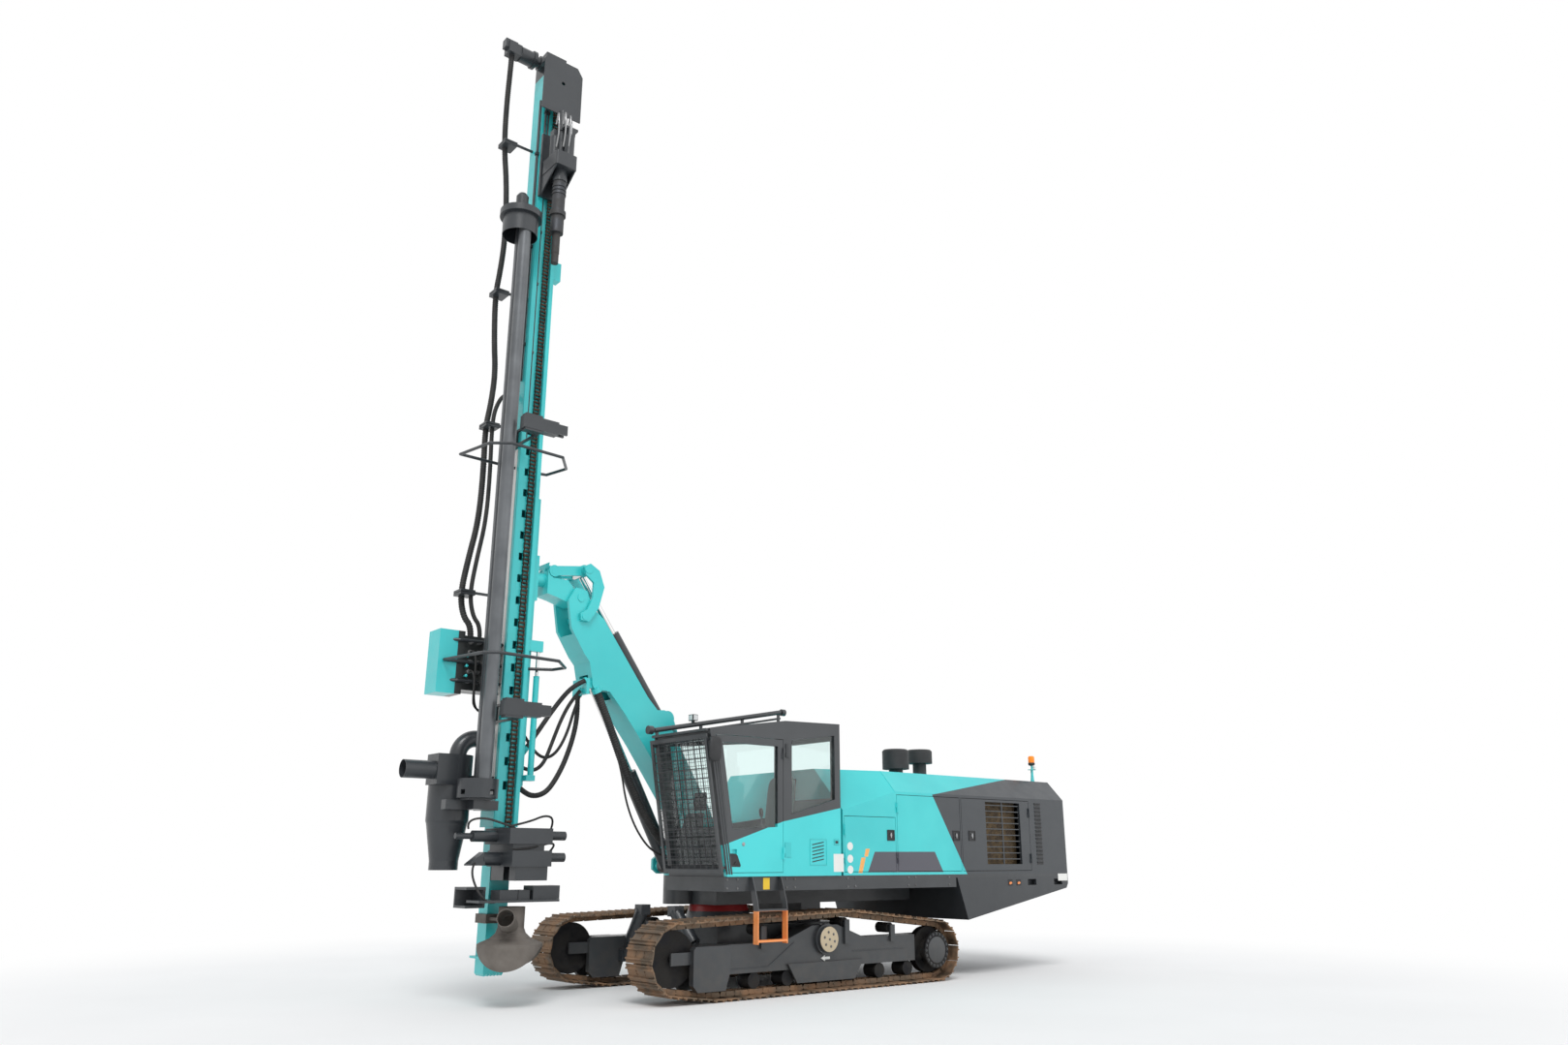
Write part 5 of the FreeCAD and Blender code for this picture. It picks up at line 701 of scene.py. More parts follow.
def round_places(middle, radius, count, start=0.0):
    """Points evenly round an upright circle that faces sideways."""
    places = []
    for index in range(count):
        turn = start + 2 * math.pi * index / count
        offset = (radius * math.cos(turn), 0, radius * math.sin(turn))
        places.append(tuple(m + o for m, o in zip(middle, offset)))
    return places


print("bolt tree ready")

# %% [markdown]
# ## Tracks with real shoes
#
# A crawler track is a chain of cast links with a steel shoe bolted to each. Every shoe has low cross bars
# that bite the ground. The loop runs over the sprocket, the idler and a carrier roller. Geometry Nodes set
# one shoe, with its two links, at equal steps along that loop and turn each to follow it.

# %% Shape one shoe and its links
SHOE_PITCH_COUNT = 52
SHOE_HALF = 0.235
SHOE_PITCH = 0.181
TRACK_CIRCLES = [
    (-1.745, 0.355, 0.350), (-1.430, 0.130, 0.130), (1.560, 0.130, 0.130), (2.035, 0.430, 0.365),
    (-0.320, 0.748, 0.110),
]


def belt_points(circles, step=0.02):
    """Points along a belt pulled round circles (x, z, radius), counter-clockwise."""
    count = len(circles)
    normals = []
    for index in range(count):
        (x0, z0, r0), (x1, z1, r1) = circles[index], circles[(index + 1) % count]
        length = math.hypot(x1 - x0, z1 - z0)
        along = ((x1 - x0) / length, (z1 - z0) / length)
        sine = (r0 - r1) / length
        cosine = math.sqrt(1 - sine * sine)
        normals.append((along[0] * sine + along[1] * cosine, along[1] * sine - along[0] * cosine))
    points = []
    for index in range(count):
        x, z, r = circles[index]
        turn0 = math.atan2(normals[index - 1][1], normals[index - 1][0])
        turn1 = math.atan2(normals[index][1], normals[index][0])
        while turn1 < turn0:
            turn1 += 2 * math.pi
        steps = max(2, round((turn1 - turn0) * r / step))
        for place in range(steps + 1):
            turn = turn0 + (turn1 - turn0) * place / steps
            points.append((x + r * math.cos(turn), z + r * math.sin(turn)))
    return points


def shoe_mesh(name):
    """One shoe, ground side down: a dished plate, two cross bars and four bolts, with its two links above."""
    shape = Shape()
    plate_line = [
        (-SHOE_PITCH * 0.5 + 0.006, 0.030), (-SHOE_PITCH * 0.5 + 0.012, 0.016), (-0.052, 0.018),
        (-0.047, 0.0), (-0.035, 0.0), (-0.030, 0.020), (0.038, 0.020), (0.043, 0.0), (0.055, 0.0),
        (0.060, 0.018), (SHOE_PITCH * 0.5 - 0.002, 0.016), (SHOE_PITCH * 0.5 - 0.002, 0.028), (0.0, 0.034),
    ]
    shape.prism(plate_line, "Y", -SHOE_HALF, SHOE_HALF)
    for side in (-1, 1):
        low, high = sorted((side * 0.060, side * 0.092))
        link = [(-0.098, 0.050), (-0.085, 0.036), (0.080, 0.036), (0.093, 0.052), (0.080, 0.086),
                (-0.080, 0.086)]
        shape.prism(link, "Y", low, high)
        for x in (-0.012, 0.020):
            shape.bar((x, side * 0.075, 0.032), (x, side * 0.075, 0.014), 0.011, sides=6)
    shape.bar((0.0, -0.096, 0.063), (0.0, 0.096, 0.063), 0.020, sides=10)
    return shape.mesh(name)


# %% Run the shoes round each track
def track_tree(shoe):
    """A closed line in, a shoe at each equal step out."""
    tree, given, result = geometry_tree("track_shoes", {"Count": SHOE_PITCH_COUNT})
    places = add(tree, "GeometryNodeCurveToPoints",
                 {"Curve": given.outputs[0], "Count": given.outputs["Count"]},
                 mode="COUNT")
    turn = add(tree, "FunctionNodeAlignRotationToVector", {"Vector": places.outputs["Tangent"]}, axis="X",
               pivot_axis="Y")
    one = add(tree, "GeometryNodeObjectInfo", {"Object": shoe})
    set_out = add(tree, "GeometryNodeInstanceOnPoints", {
        "Points": places.outputs["Points"], "Instance": one.outputs["Geometry"], "Rotation": turn.outputs[0]})
    return finish_tree(tree, given, result, set_out.outputs[0])


shoe = keep_object("one_shoe", shoe_mesh("one_shoe"))
shoes_along = track_tree(shoe)
for side_name, side_y in (("left", 1.015), ("right", -1.015)):
    belt = [(x, side_y, z) for x, z in belt_points(TRACK_CIRCLES)]
    line = curve_object("track_line", [belt], "POLY", closed=True)
    track = run_tree(line, shoes_along, "track_shoes_" + side_name, track_steel, Count=SHOE_PITCH_COUNT)
    fit(track, "chassis", replaced="track_" + side_name)
    print("track", side_name, len(track.data.polygons), "faces")
bpy.data.objects.remove(shoe)

# %% [markdown]
# ## Feed chain
#
# A roller chain as long as the mast pulls the drill head up and down. It is two rows of waisted plates,
# joined by rollers on pins. One pitch is a few dozen faces: a pair of inner plates, a pair of outer plates
# and two rollers. Geometry Nodes repeat it up a straight line.

# %% Shape one pitch of the chain
CHAIN_X = 3.345
CHAIN_Y = -0.0925
CHAIN_LOW, CHAIN_HIGH = 1.775, 10.53
CHAIN_PITCH = 0.09


def chain_piece(name):
    """Two links of a roller chain that runs along Z, pins along X."""
    shape = Shape()
    half = CHAIN_PITCH * 0.25
    for middle, spread in ((-half, 0.024), (half, 0.031)):
        waist = [(-0.016, -half * 1.45), (0.016, -half * 1.45), (0.010, 0.0), (0.016, half * 1.45),
                 (-0.016, half * 1.45), (-0.010, 0.0)]
        for side in (-1, 1):
            low, high = sorted((side * spread, side * (spread + 0.005)))
            shape.prism([(y, z + middle) for y, z in waist], "X", low, high)
    for z in (0.0, 2 * half):
        shape.bar((-0.024, 0.0, z), (0.024, 0.0, z), 0.013, sides=8)
    return shape.mesh(name)


# %% Repeat a piece along a line
def row_tree(part, name):
    """A straight line in, the part repeated along it at equal steps out, unturned."""
    tree, given, result = geometry_tree(name, {"Count": 10})
    places = add(tree, "GeometryNodeCurveToPoints",
                 {"Curve": given.outputs[0], "Count": given.outputs["Count"]},
                 mode="COUNT")
    one = add(tree, "GeometryNodeObjectInfo", {"Object": part})
    set_out = add(tree, "GeometryNodeInstanceOnPoints", {
        "Points": places.outputs["Points"], "Instance": one.outputs["Geometry"]})
    return finish_tree(tree, given, result, set_out.outputs[0])


link = keep_object("one_link", chain_piece("one_link"))
links_up = row_tree(link, "chain_links")
chain_line = curve_object("chain_line", [[(CHAIN_X, CHAIN_Y, CHAIN_LOW), (CHAIN_X, CHAIN_Y, CHAIN_HIGH)]],
                          "POLY")
chain = run_tree(chain_line, links_up, "feed_roller_chain", chain_steel,
                 Count=round((CHAIN_HIGH - CHAIN_LOW) / CHAIN_PITCH) + 1)
fit(chain, "mast", replaced="feed_chain")
bpy.data.objects.remove(link)
print("chain", len(chain.data.polygons), "faces")

# %% [markdown]
# ## Cab paint
#
# The cab is dark grey steel, and its lower side panel is turquoise below a line that climbs from the front
# foot to the rear roof post. The line is the same on the shell and on the door, so it belongs to the
# material: a mask on Object coordinates, made of the straight pieces of that line.

# %% Mix the cab's two paints
PANEL_LINE = [(1.495, 1.545), (0.687, 1.798), (-0.099, 1.952)]
PANEL_SIDE_Y = 1.17


def below_line(tree, x, z, first, second):
    """1 where a point lies below the straight line through two points (x, z)."""
    slope = (second[1] - first[1]) / (second[0] - first[0])
    line = math_node(tree, "ADD", math_node(tree, "MULTIPLY", x, slope), first[1] - slope * first[0])
    return math_node(tree, "LESS_THAN", z, line)


def cab_two_tone(tree, place, base):
    """Grey everywhere, turquoise on the left side below the panel line."""
    axes = axes_of(tree, place)
    x, y, z = axes[0], axes[1], axes[2]
    mask = math_node(tree, "GREATER_THAN", y, PANEL_SIDE_Y)
    for first, second in zip(PANEL_LINE, PANEL_LINE[1:]):
        mask = math_node(tree, "MULTIPLY", mask, below_line(tree, x, z, first, second))
    turquoise = mix(tree, noise(tree, place, 1.3), shade(66, 212, 214), shade(58, 200, 203))
    return mix(tree, mask, base, turquoise)


def inside(tree, x, z, corners):
    """1 where a point (x, z) lies inside a convex outline given clockwise or the other way round."""
    middle = [sum(c[k] for c in corners) / len(corners) for k in (0, 1)]
    mask = None
    for (x0, z0), (x1, z1) in zip(corners, corners[1:] + corners[:1]):
        a, b = z1 - z0, x0 - x1
        c = -(a * x0 + b * z0)
        if a * middle[0] + b * middle[1] + c < 0:
            a, b, c = -a, -b, -c
        sloped = math_node(tree, "ADD", math_node(tree, "MULTIPLY", x, a), math_node(tree, "MULTIPLY", z, b))
        within = math_node(tree, "GREATER_THAN", sloped, -c)
        mask = within if mask is None else math_node(tree, "MULTIPLY", mask, within)
    return mask


cab_two_tone_paint = paint("cab_two_tone_paint", *CAB_GREY, 0.35,
                           colour_maker=cab_two_tone)
for node_name in ("cab_shell", "cab_door"):
    nodes[node_name].data.materials[0] = cab_two_tone_paint

# %% [markdown]
# The house carries a plain dark band with a slanted orange accent at its front end. It is vinyl, thinner than
# paint can show, so it is also drawn by the paint: two convex outlines for the accent and one for the band.
# The seams between the doors cut through it, as they do on the real thing.

# %% Add the band to the house paint
BAND_SIDE_Y = 1.15
BAND = [(-0.743, 1.484), (-1.780, 1.489), (-1.924, 1.248), (-0.625, 1.252)]
ACCENTS = [
    [(-0.596, 1.516), (-0.662, 1.517), (-0.628, 1.429), (-0.571, 1.429)],
    [(-0.524, 1.418), (-0.593, 1.418), (-0.535, 1.245), (-0.473, 1.246)],
]


def banded_house(tree, place, turquoise):
    """House colours with the dark band and its orange accent on both sides."""
    base = house_colours(tree, place, turquoise)
    axes = axes_of(tree, place)
    x, z = axes[0], axes[2]
    on_side = math_node(tree, "GREATER_THAN", math_node(tree, "ABSOLUTE", axes[1]), BAND_SIDE_Y)
    band = math_node(tree, "MULTIPLY", on_side, inside(tree, x, z, BAND))
    base = mix(tree, band, base, shade(74, 74, 84))
    for outline in ACCENTS:
        share = math_node(tree, "MULTIPLY", on_side, inside(tree, x, z, outline))
        base = mix(tree, share, base, shade(240, 172, 92))
    return base


banded_paint = paint("banded_house_paint", *TURQUOISE, 0.3, colour_maker=banded_house)
for node_name in ("engine_house", "house_door_left_front", "house_door_left_middle", "house_door_left_rear",
                  "house_door_right_middle", "house_door_right_rear"):
    nodes[node_name].data.materials[0] = banded_paint
print("house and cab painted")

# %% [markdown]
# ## Fittings on the house
#
# Each side door shuts with a paddle latch in a black tray. The rear panel breathes through a column of
# pressed louvres. These are small rigid things, so they are plain meshes: a tray with a raised rim, a
# T-shaped paddle, and one louvre that a tree repeats up the panel.

# %% Latches, louvres, discs and plates
HOUSE_SIDE = 1.2
LOUVRE_X = -3.85
LOUVRE_ENDS = (1.36, 2.12)


def latch(name, body, x, z, side):
    """A square tray with a rim and a T handle, on the left (+1) or right (-1) wall."""
    face = side * HOUSE_SIDE
    rim = Shape()
    half, wall, depth = 0.062, 0.008, 0.008
    for x0, x1, z0, z1 in ((-half, half, half - wall, half), (-half, half, -half, wall - half),
                           (-half, wall - half, wall - half, half - wall), (half - wall, half, wall - half,
                                                                           half - wall)):
        low, high = sorted((face, face + side * depth))
        rim.block((x + x0, low, z + z0), (x + x1, high, z + z1))
    low, high = sorted((face + side * 0.0003, face + side * 0.002))
    rim.block((x + wall - half, low, z + wall - half), (x + half - wall, high, z + half - wall))
    rim.finish(name + "_tray", body, black_plastic, "black_plastic", bevel=0.0015)
    paddle = Shape()
    paddle.bar((x, face + side * 0.0015, z), (x, face + side * 0.010, z), 0.016, sides=18)
    low, high = sorted((face + side * 0.006, face + side * 0.013))
    paddle.prism([(x - 0.006, z - 0.03), (x + 0.008, z - 0.03), (x + 0.010, z + 0.03),
                  (x - 0.010, z + 0.026)], "Y",
                 low, high)
    paddle.finish(name + "_paddle", body, bare_steel, "chrome", bevel=0.0015)


LATCHES = [
    ("latch_front", "house_door_left_front", -1.016, 1.675, 1),
    ("latch_middle", "house_door_left_middle", -2.185, 1.684, 1),
    ("latch_rear", "house_door_left_rear", -2.484, 1.688, 1),
    ("latch_right_middle", "house_door_right_middle", -2.185, 1.684, -1),
    ("latch_right_rear", "house_door_right_rear", -2.484, 1.688, -1),
]
for latch_facts in LATCHES:
    latch(*latch_facts)
print("latches:", len(LATCHES))


def louvre(name, side):
    """One pressed louvre: a dark slot under a lip that leans out of the wall."""
    shape = Shape()
    reach = side * 0.010
    lip = [(0.0, 0.014), (reach, 0.008), (reach, 0.003), (0.0, 0.002)]
    shape.prism(lip, "X", -0.064, 0.064)
    slot = [(0.0, 0.002), (side * 0.003, 0.002), (side * 0.003, -0.026), (0.0, -0.026)]
    shape.prism(slot, "X", -0.062, 0.062)
    return shape.mesh(name)


for side_name, side in (("left", 1), ("right", -1)):
    one = keep_object("one_louvre", louvre("one_louvre", side))
    column = curve_object("louvre_line", [[(LOUVRE_X, side * HOUSE_SIDE, z) for z in LOUVRE_ENDS]], "POLY")
    louvres = run_tree(column, row_tree(one, "louvre_column"), "louvres_" + side_name, black_plastic,
                       Count=16)
    fit(louvres, "chassis")
    bpy.data.objects.remove(one)

discs = Shape()
for z in (1.544, 1.404, 1.284):
    discs.bar((-0.345, HOUSE_SIDE, z), (-0.345, HOUSE_SIDE + 0.0015, z), 0.045, sides=32)
discs.finish("white_discs", "house_door_left_front", white_paint, "cab_paint")
plates = Shape()
plates.block((-4.418, HOUSE_SIDE, 1.124), (-4.215, HOUSE_SIDE + 0.002, 1.215))
plates.block((-0.216, 1.225, 1.261), (-0.062, 1.2265, 1.457))
plates.finish("blank_white_plates", "chassis", white_paint, "cab_paint", bevel=0.0004)
tie_downs = Shape()
for x in (-3.20, -3.37):
    tie_downs.block((x - 0.045, HOUSE_SIDE - 0.001, 1.072), (x + 0.045, HOUSE_SIDE + 0.003, 1.148))
tie_downs.finish("tie_down_trays", "chassis", black_plastic, "black_plastic", bevel=0.002)
hooks = Shape()
for x in (-3.20, -3.37):
    hooks.prism([(x - 0.03, 1.10), (x + 0.018, 1.085), (x + 0.035, 1.10), (x + 0.02, 1.118),
                 (x - 0.012, 1.122)], "Y",
                HOUSE_SIDE + 0.002, HOUSE_SIDE + 0.012)
hooks.finish("tie_down_hooks", "chassis", orange_paint, "amber", bevel=0.003)
print("house fittings done")

# %% [markdown]
# ## Beacon
#
# A small orange lamp stands on a bent turquoise bracket with a white junction box. It replaces the plain
# beacon solid: turned lens with a rounded top, a dark foot, and a bracket in two runs.

# %% Beacon on its bracket
BEACON = (-4.15, 0.92, 2.448)
bx, by, bz = BEACON
lamp = Shape()
lamp.turned((bx, by, bz + 0.262), (0, 0, 1), [
    (0.0, 0.040), (0.012, 0.044), (0.070, 0.045), (0.082, 0.042), (0.092, 0.030), (0.094, 0.012)])
lamp.finish("beacon_lens", "chassis", amber_lens, "amber", replaced="beacon")
Shape().turned((bx, by, bz + 0.222), (0, 0, 1), [
    (0.0, 0.030), (0.012, 0.046), (0.030, 0.048), (0.0395, 0.044)]).finish(
    "beacon_foot", "chassis", black_plastic, "black_plastic", replaced="beacon")
bracket = Shape()
bracket.prism([(bx - 0.030, bz), (bx + 0.030, bz), (bx + 0.016, bz + 0.10), (bx + 0.016, bz + 0.165),
               (bx - 0.016, bz + 0.165), (bx - 0.016, bz + 0.10)], "Y", by - 0.012, by + 0.012)
bracket.block((bx - 0.055, by - 0.030, bz + 0.160), (bx + 0.055, by + 0.030, bz + 0.168))
bracket.bar((bx, by, bz + 0.166), (bx, by, bz + 0.224), 0.013)
bracket.finish("beacon_bracket", "chassis", turquoise_paint, "turquoise", bevel=0.002, replaced="beacon")
Shape().block((bx - 0.040, by + 0.010, bz + 0.168), (bx - 0.004, by + 0.048, bz + 0.212)).finish(
    "beacon_junction_box", "chassis", white_paint, "cab_paint", bevel=0.004)
print("beacon done")

# %% [markdown]
# ## Fittings on the cab
#
# The lower side panel has a black door pull in a rounded recess, a hinge plate, a small lock and a vent with
# slanted slots. A mirror hangs on an arm before the left front post, and flutes stiffen that post.

# %% Cab side fittings
CAB_SIDE = 1.225
pull = Shape()
pull.prism([(1.424, 1.455), (1.345, 1.452), (1.322, 1.435), (1.277, 1.335), (1.285, 1.318), (1.395, 1.320),
            (1.408, 1.332), (1.430, 1.44)], "Y", CAB_SIDE, CAB_SIDE + 0.003)
pull.prism([(1.352, 1.372), (1.318, 1.366), (1.330, 1.345), (1.372, 1.344)], "Y", CAB_SIDE + 0.002,
           CAB_SIDE + 0.014)
pull.finish("door_pull", "cab_door", black_plastic, "black_plastic", bevel=0.003)
lock = Shape()
lock.turned((1.243, CAB_SIDE, 1.552), (0, 1, 0),
            [(0.0, 0.021), (0.004, 0.020), (0.006, 0.012), (0.010, 0.012)], 20)
lock.finish("door_lock", "cab_door", bare_steel, "chrome")
Shape().block((0.575, CAB_SIDE, 1.418), (0.665, CAB_SIDE + 0.006, 1.576)).finish(
    "hinge_plate", "chassis", turquoise_paint, "turquoise", bevel=0.003)
vent = Shape()
for index in range(6):
    z = 1.560 - index * 0.037
    vent.prism([(0.262, z), (0.088, z + 0.030), (0.088, z + 0.020), (0.262, z - 0.010)], "Y", CAB_SIDE,
               CAB_SIDE + 0.004)
vent.finish("cab_vent_slots", "chassis", black_plastic, "black_plastic", bevel=0.001)
vent_rim = Shape()
for x0, x1, z0, z1 in ((0.045, 0.30, 1.612, 1.618), (0.045, 0.30, 1.333, 1.339), (0.045, 0.051, 1.339, 1.612),
                       (0.294, 0.30, 1.339, 1.612)):
    vent_rim.block((x0, CAB_SIDE, z0), (x1, CAB_SIDE + 0.005, z1))
vent_rim.finish("cab_vent_rim", "chassis", turquoise_paint, "turquoise", bevel=0.002)
Shape().block((-0.150, CAB_SIDE, 1.555), (-0.070, CAB_SIDE + 0.004, 1.615)).finish(
    "cab_catch_plate", "chassis", turquoise_paint, "turquoise", bevel=0.002)
Shape().block((-0.132, CAB_SIDE + 0.0035, 1.572), (-0.088, CAB_SIDE + 0.008, 1.600)).finish(
    "cab_catch_pull", "chassis", black_plastic, "black_plastic", bevel=0.002)
print("cab side fittings done")

# %% Mirror, post flutes and hinges
# the mirror's middle (x, z), its half sizes, and the power that squares its round outline
MIRROR_X, MIRROR_Z = 1.690, 2.530
MIRROR_HALF_WIDE, MIRROR_HALF_HIGH = 0.078, 0.132
MIRROR_SQUARENESS = 0.55


def squared(value, power):
    """A sine or cosine pushed outwards, so that a round outline turns into a rounded square."""
    return math.copysign(abs(value) ** power, value)


mirror_body = Shape()
mirror_rings = []
for y, grow in ((1.262, 0.55), (1.268, 0.86), (1.285, 1.0), (1.305, 0.98), (1.318, 0.80), (1.322, 0.45)):
    ring = []
    for step in range(28):
        turn = 2 * math.pi * step / 28
        ring.append((MIRROR_X + squared(math.cos(turn), MIRROR_SQUARENESS) * MIRROR_HALF_WIDE * grow, y,
                     MIRROR_Z + squared(math.sin(turn), MIRROR_SQUARENESS) * MIRROR_HALF_HIGH * grow))
    mirror_rings.append(ring)
mirror_body.skin(mirror_rings)
mirror_body.finish("mirror_shell", "chassis", black_plastic, "black_plastic")
arm = Shape()
arm.bar((1.640, 1.20, 2.60), (1.680, 1.272, 2.575), 0.010)
arm.bar((1.618, 1.20, 2.46), (1.680, 1.272, 2.49), 0.010)
arm.finish("mirror_arm", "chassis", cab_paint, "cab_paint")
flutes = Shape()
for offset in (0.0, 0.030, 0.060):
    low_x, high_x = 1.455 - offset, 1.706 - offset
    flutes.bar((low_x, CAB_SIDE - 0.002, 1.245), (high_x, CAB_SIDE - 0.002, 2.66), 0.011, sides=12)
flutes.finish("post_flutes", "chassis", cab_paint, "cab_paint")
upper_hinge = Shape()
upper_hinge.block((0.595, CAB_SIDE, 2.50), (0.655, CAB_SIDE + 0.012, 2.65))
upper_hinge.bar((0.625, CAB_SIDE + 0.008, 2.50), (0.625, CAB_SIDE + 0.008, 2.65), 0.012, sides=16)
upper_hinge.finish("upper_hinge", "chassis", cab_paint, "cab_paint", bevel=0.002)
print("mirror and posts done")

# %% [markdown]
# ## Mesh before the windscreen
#
# A welded wire mesh keeps stones off the glass. One tree draws it: straight runs become round wires. The
# upright wires lean with the windscreen, and the cross wires lie on them, so each run is placed on the
# leaning plane.

# %% Weave the mesh
MESH_LOW_Z, MESH_HIGH_Z = 1.30, 2.66
MESH_LEFT_Y, MESH_RIGHT_Y = 1.19, 0.185
MESH_STEP = 0.042
UPRIGHT_STAND_OFF, CROSS_STAND_OFF = 0.058, 0.062
# the windscreen's foot and head, each (x, z)
SCREEN_FOOT, SCREEN_HEAD = (1.456, 1.22), (1.716, 2.751)


def windscreen_x(z):
    """Where the windscreen's plane is at a height."""
    (x0, z0), (x1, z1) = SCREEN_FOOT, SCREEN_HEAD
    return x0 + (x1 - x0) * (z - z0) / (z1 - z0)


def tube_tree(name, sides, capped):
    """Curves in, plain round tubes out."""
    tree, given, result = geometry_tree(name, {"Radius": 0.01})
    ring = add(tree, "GeometryNodeCurvePrimitiveCircle",
               {"Resolution": sides, "Radius": given.outputs["Radius"]})
    tube = add(tree, "GeometryNodeCurveToMesh",
               {"Curve": given.outputs[0], "Profile Curve": ring.outputs[0], "Fill Caps": capped})
    smooth = add(tree, "GeometryNodeSetShadeSmooth", {0: tube.outputs[0]})
    return finish_tree(tree, given, result, smooth.outputs[0])


wires = []
across_count = round((MESH_LEFT_Y - MESH_RIGHT_Y) / MESH_STEP)
for index in range(across_count + 1):
    y = MESH_RIGHT_Y + (MESH_LEFT_Y - MESH_RIGHT_Y) * index / across_count
    wires.append([(windscreen_x(z) + UPRIGHT_STAND_OFF, y, z) for z in (MESH_LOW_Z, MESH_HIGH_Z)])
up_count = round((MESH_HIGH_Z - MESH_LOW_Z) / MESH_STEP)
for index in range(up_count + 1):
    z = MESH_LOW_Z + (MESH_HIGH_Z - MESH_LOW_Z) * index / up_count
    wires.append([(windscreen_x(z) + CROSS_STAND_OFF, y, z) for y in (MESH_RIGHT_Y, MESH_LEFT_Y)])
mesh_lines = curve_object("mesh_lines", wires, "POLY")
mesh_guard = run_tree(mesh_lines, tube_tree("mesh_wires", 5, False), "windscreen_mesh", cab_paint,
                      Radius=0.0024)
fit(mesh_guard, "chassis")
print("mesh", len(mesh_guard.data.polygons), "faces")

# %% [markdown]
# ## Driver's seat
#
# The seat is three foam pads in plain grey-green cloth: a cushion, a back and a head rest. Each pad is a
# crowned closed form: a rounded slab whose faces bulge in the middle and pull in at the seams. It is drawn as
# a grid on a rounded outline, so that its sides are soft without simulation.

# %% Sew a pad
PAD_SQUARENESS = 0.35
PAD_FLATNESS = 0.7
PAD_CROWN = 0.030
PAD_CHANNELS = 3


def pad_mesh(name, middle, wide, high, thick, tilt):
    """A crowned pad. It lies in its own plane (wide along Y, high along its length), then tilts about Y."""
    count_a, count_b = 48, 24
    work = bmesh.new()
    rings = []
    for b in range(1, count_b):
        latitude = math.pi * b / count_b
        ring = []
        for a in range(count_a):
            turn = 2 * math.pi * a / count_a
            out = math.sin(latitude) ** PAD_SQUARENESS
            u = squared(math.cos(turn), PAD_SQUARENESS) * out
            v = squared(math.sin(turn), PAD_SQUARENESS) * out
            lift = squared(math.cos(latitude), PAD_FLATNESS)
            bulge = (1 - u * u) * (1 - v * v)
            seam = 0.010 * max(0.0, math.cos(v * math.pi * PAD_CHANNELS)) ** 6 * bulge if lift > 0 else 0.0
            ring.append((u * high / 2, v * wide / 2, lift * (thick / 2 + PAD_CROWN * bulge - seam)))
        rings.append(ring)
    turned = Matrix.Translation(middle) @ Matrix.Rotation(math.radians(tilt), 4, "Y")
    loops = [[work.verts.new(turned @ Vector(point)) for point in ring] for ring in rings]
    for first, second in zip(loops, loops[1:]):
        for a in range(count_a):
            after = (a + 1) % count_a
            work.faces.new((first[a], first[after], second[after], second[a]))
    for loop in (loops[0], loops[-1]):
        middle_point = sum((v.co for v in loop), Vector()) / count_a
        pole = work.verts.new(middle_point)
        for a in range(count_a):
            work.faces.new((loop[a], loop[(a + 1) % count_a], pole))
    bmesh.ops.recalc_face_normals(work, faces=work.faces)
    for face in work.faces:
        face.smooth = True
    mesh = bpy.data.meshes.new(name)
    work.to_mesh(mesh)
    work.free()
    return mesh


# name: middle, width, length, thickness, tilt
PADS = {
    "seat_cushion": ((0.530, 0.670, 1.640), 0.480, 0.520, 0.090, -4.0),
    "seat_back": ((0.275, 0.670, 2.000), 0.470, 0.660, 0.080, -97.0),
    "seat_head_rest": ((0.235, 0.670, 2.420), 0.260, 0.180, 0.060, -98.0),
}
for pad_name, pad_sizes in PADS.items():
    piece = keep_object(pad_name, pad_mesh(pad_name, Vector(pad_sizes[0]), *pad_sizes[1:]), seat_cloth)
    fit(piece, "chassis", replaced="cab_interior")
print("seat sewn")

# %% [markdown]
# Everything round the seat is hard: a suspension base, an arm console on each side with two round knobs and a
# lever, and a dash post with a screen before it. They are prisms with softened edges.

# %% Base, consoles and dash
CAB_FLOOR = 1.26
JUST_ABOVE_FLOOR = CAB_FLOOR + 0.0003
base = Shape()
base.block((0.36, 0.49, JUST_ABOVE_FLOOR), (0.70, 0.85, 1.32))
for step in range(5):
    z = 1.325 + 0.045 * step
    base.prism([(0.37, z), (0.69, z), (0.705, z + 0.018), (0.69, z + 0.036), (0.37, z + 0.036),
                (0.355, z + 0.018)],
               "Y", 0.50, 0.84)
base.block((0.33, 0.48, 1.552), (0.72, 0.86, 1.585))
base.finish("seat_base", "chassis", black_plastic, "black_plastic", bevel=0.006)
back_shell = Shape()
back_shell.prism([(0.285, 1.62), (0.215, 2.30), (0.195, 2.30), (0.255, 1.62)], "Y", 0.46, 0.88)
back_shell.block((0.190, 0.62, 2.29), (0.215, 0.72, 2.40))
back_shell.finish("seat_back_shell", "chassis", black_plastic, "black_plastic", bevel=0.005)
console_ends = ((0.925, 1.060), (0.280, 0.415))
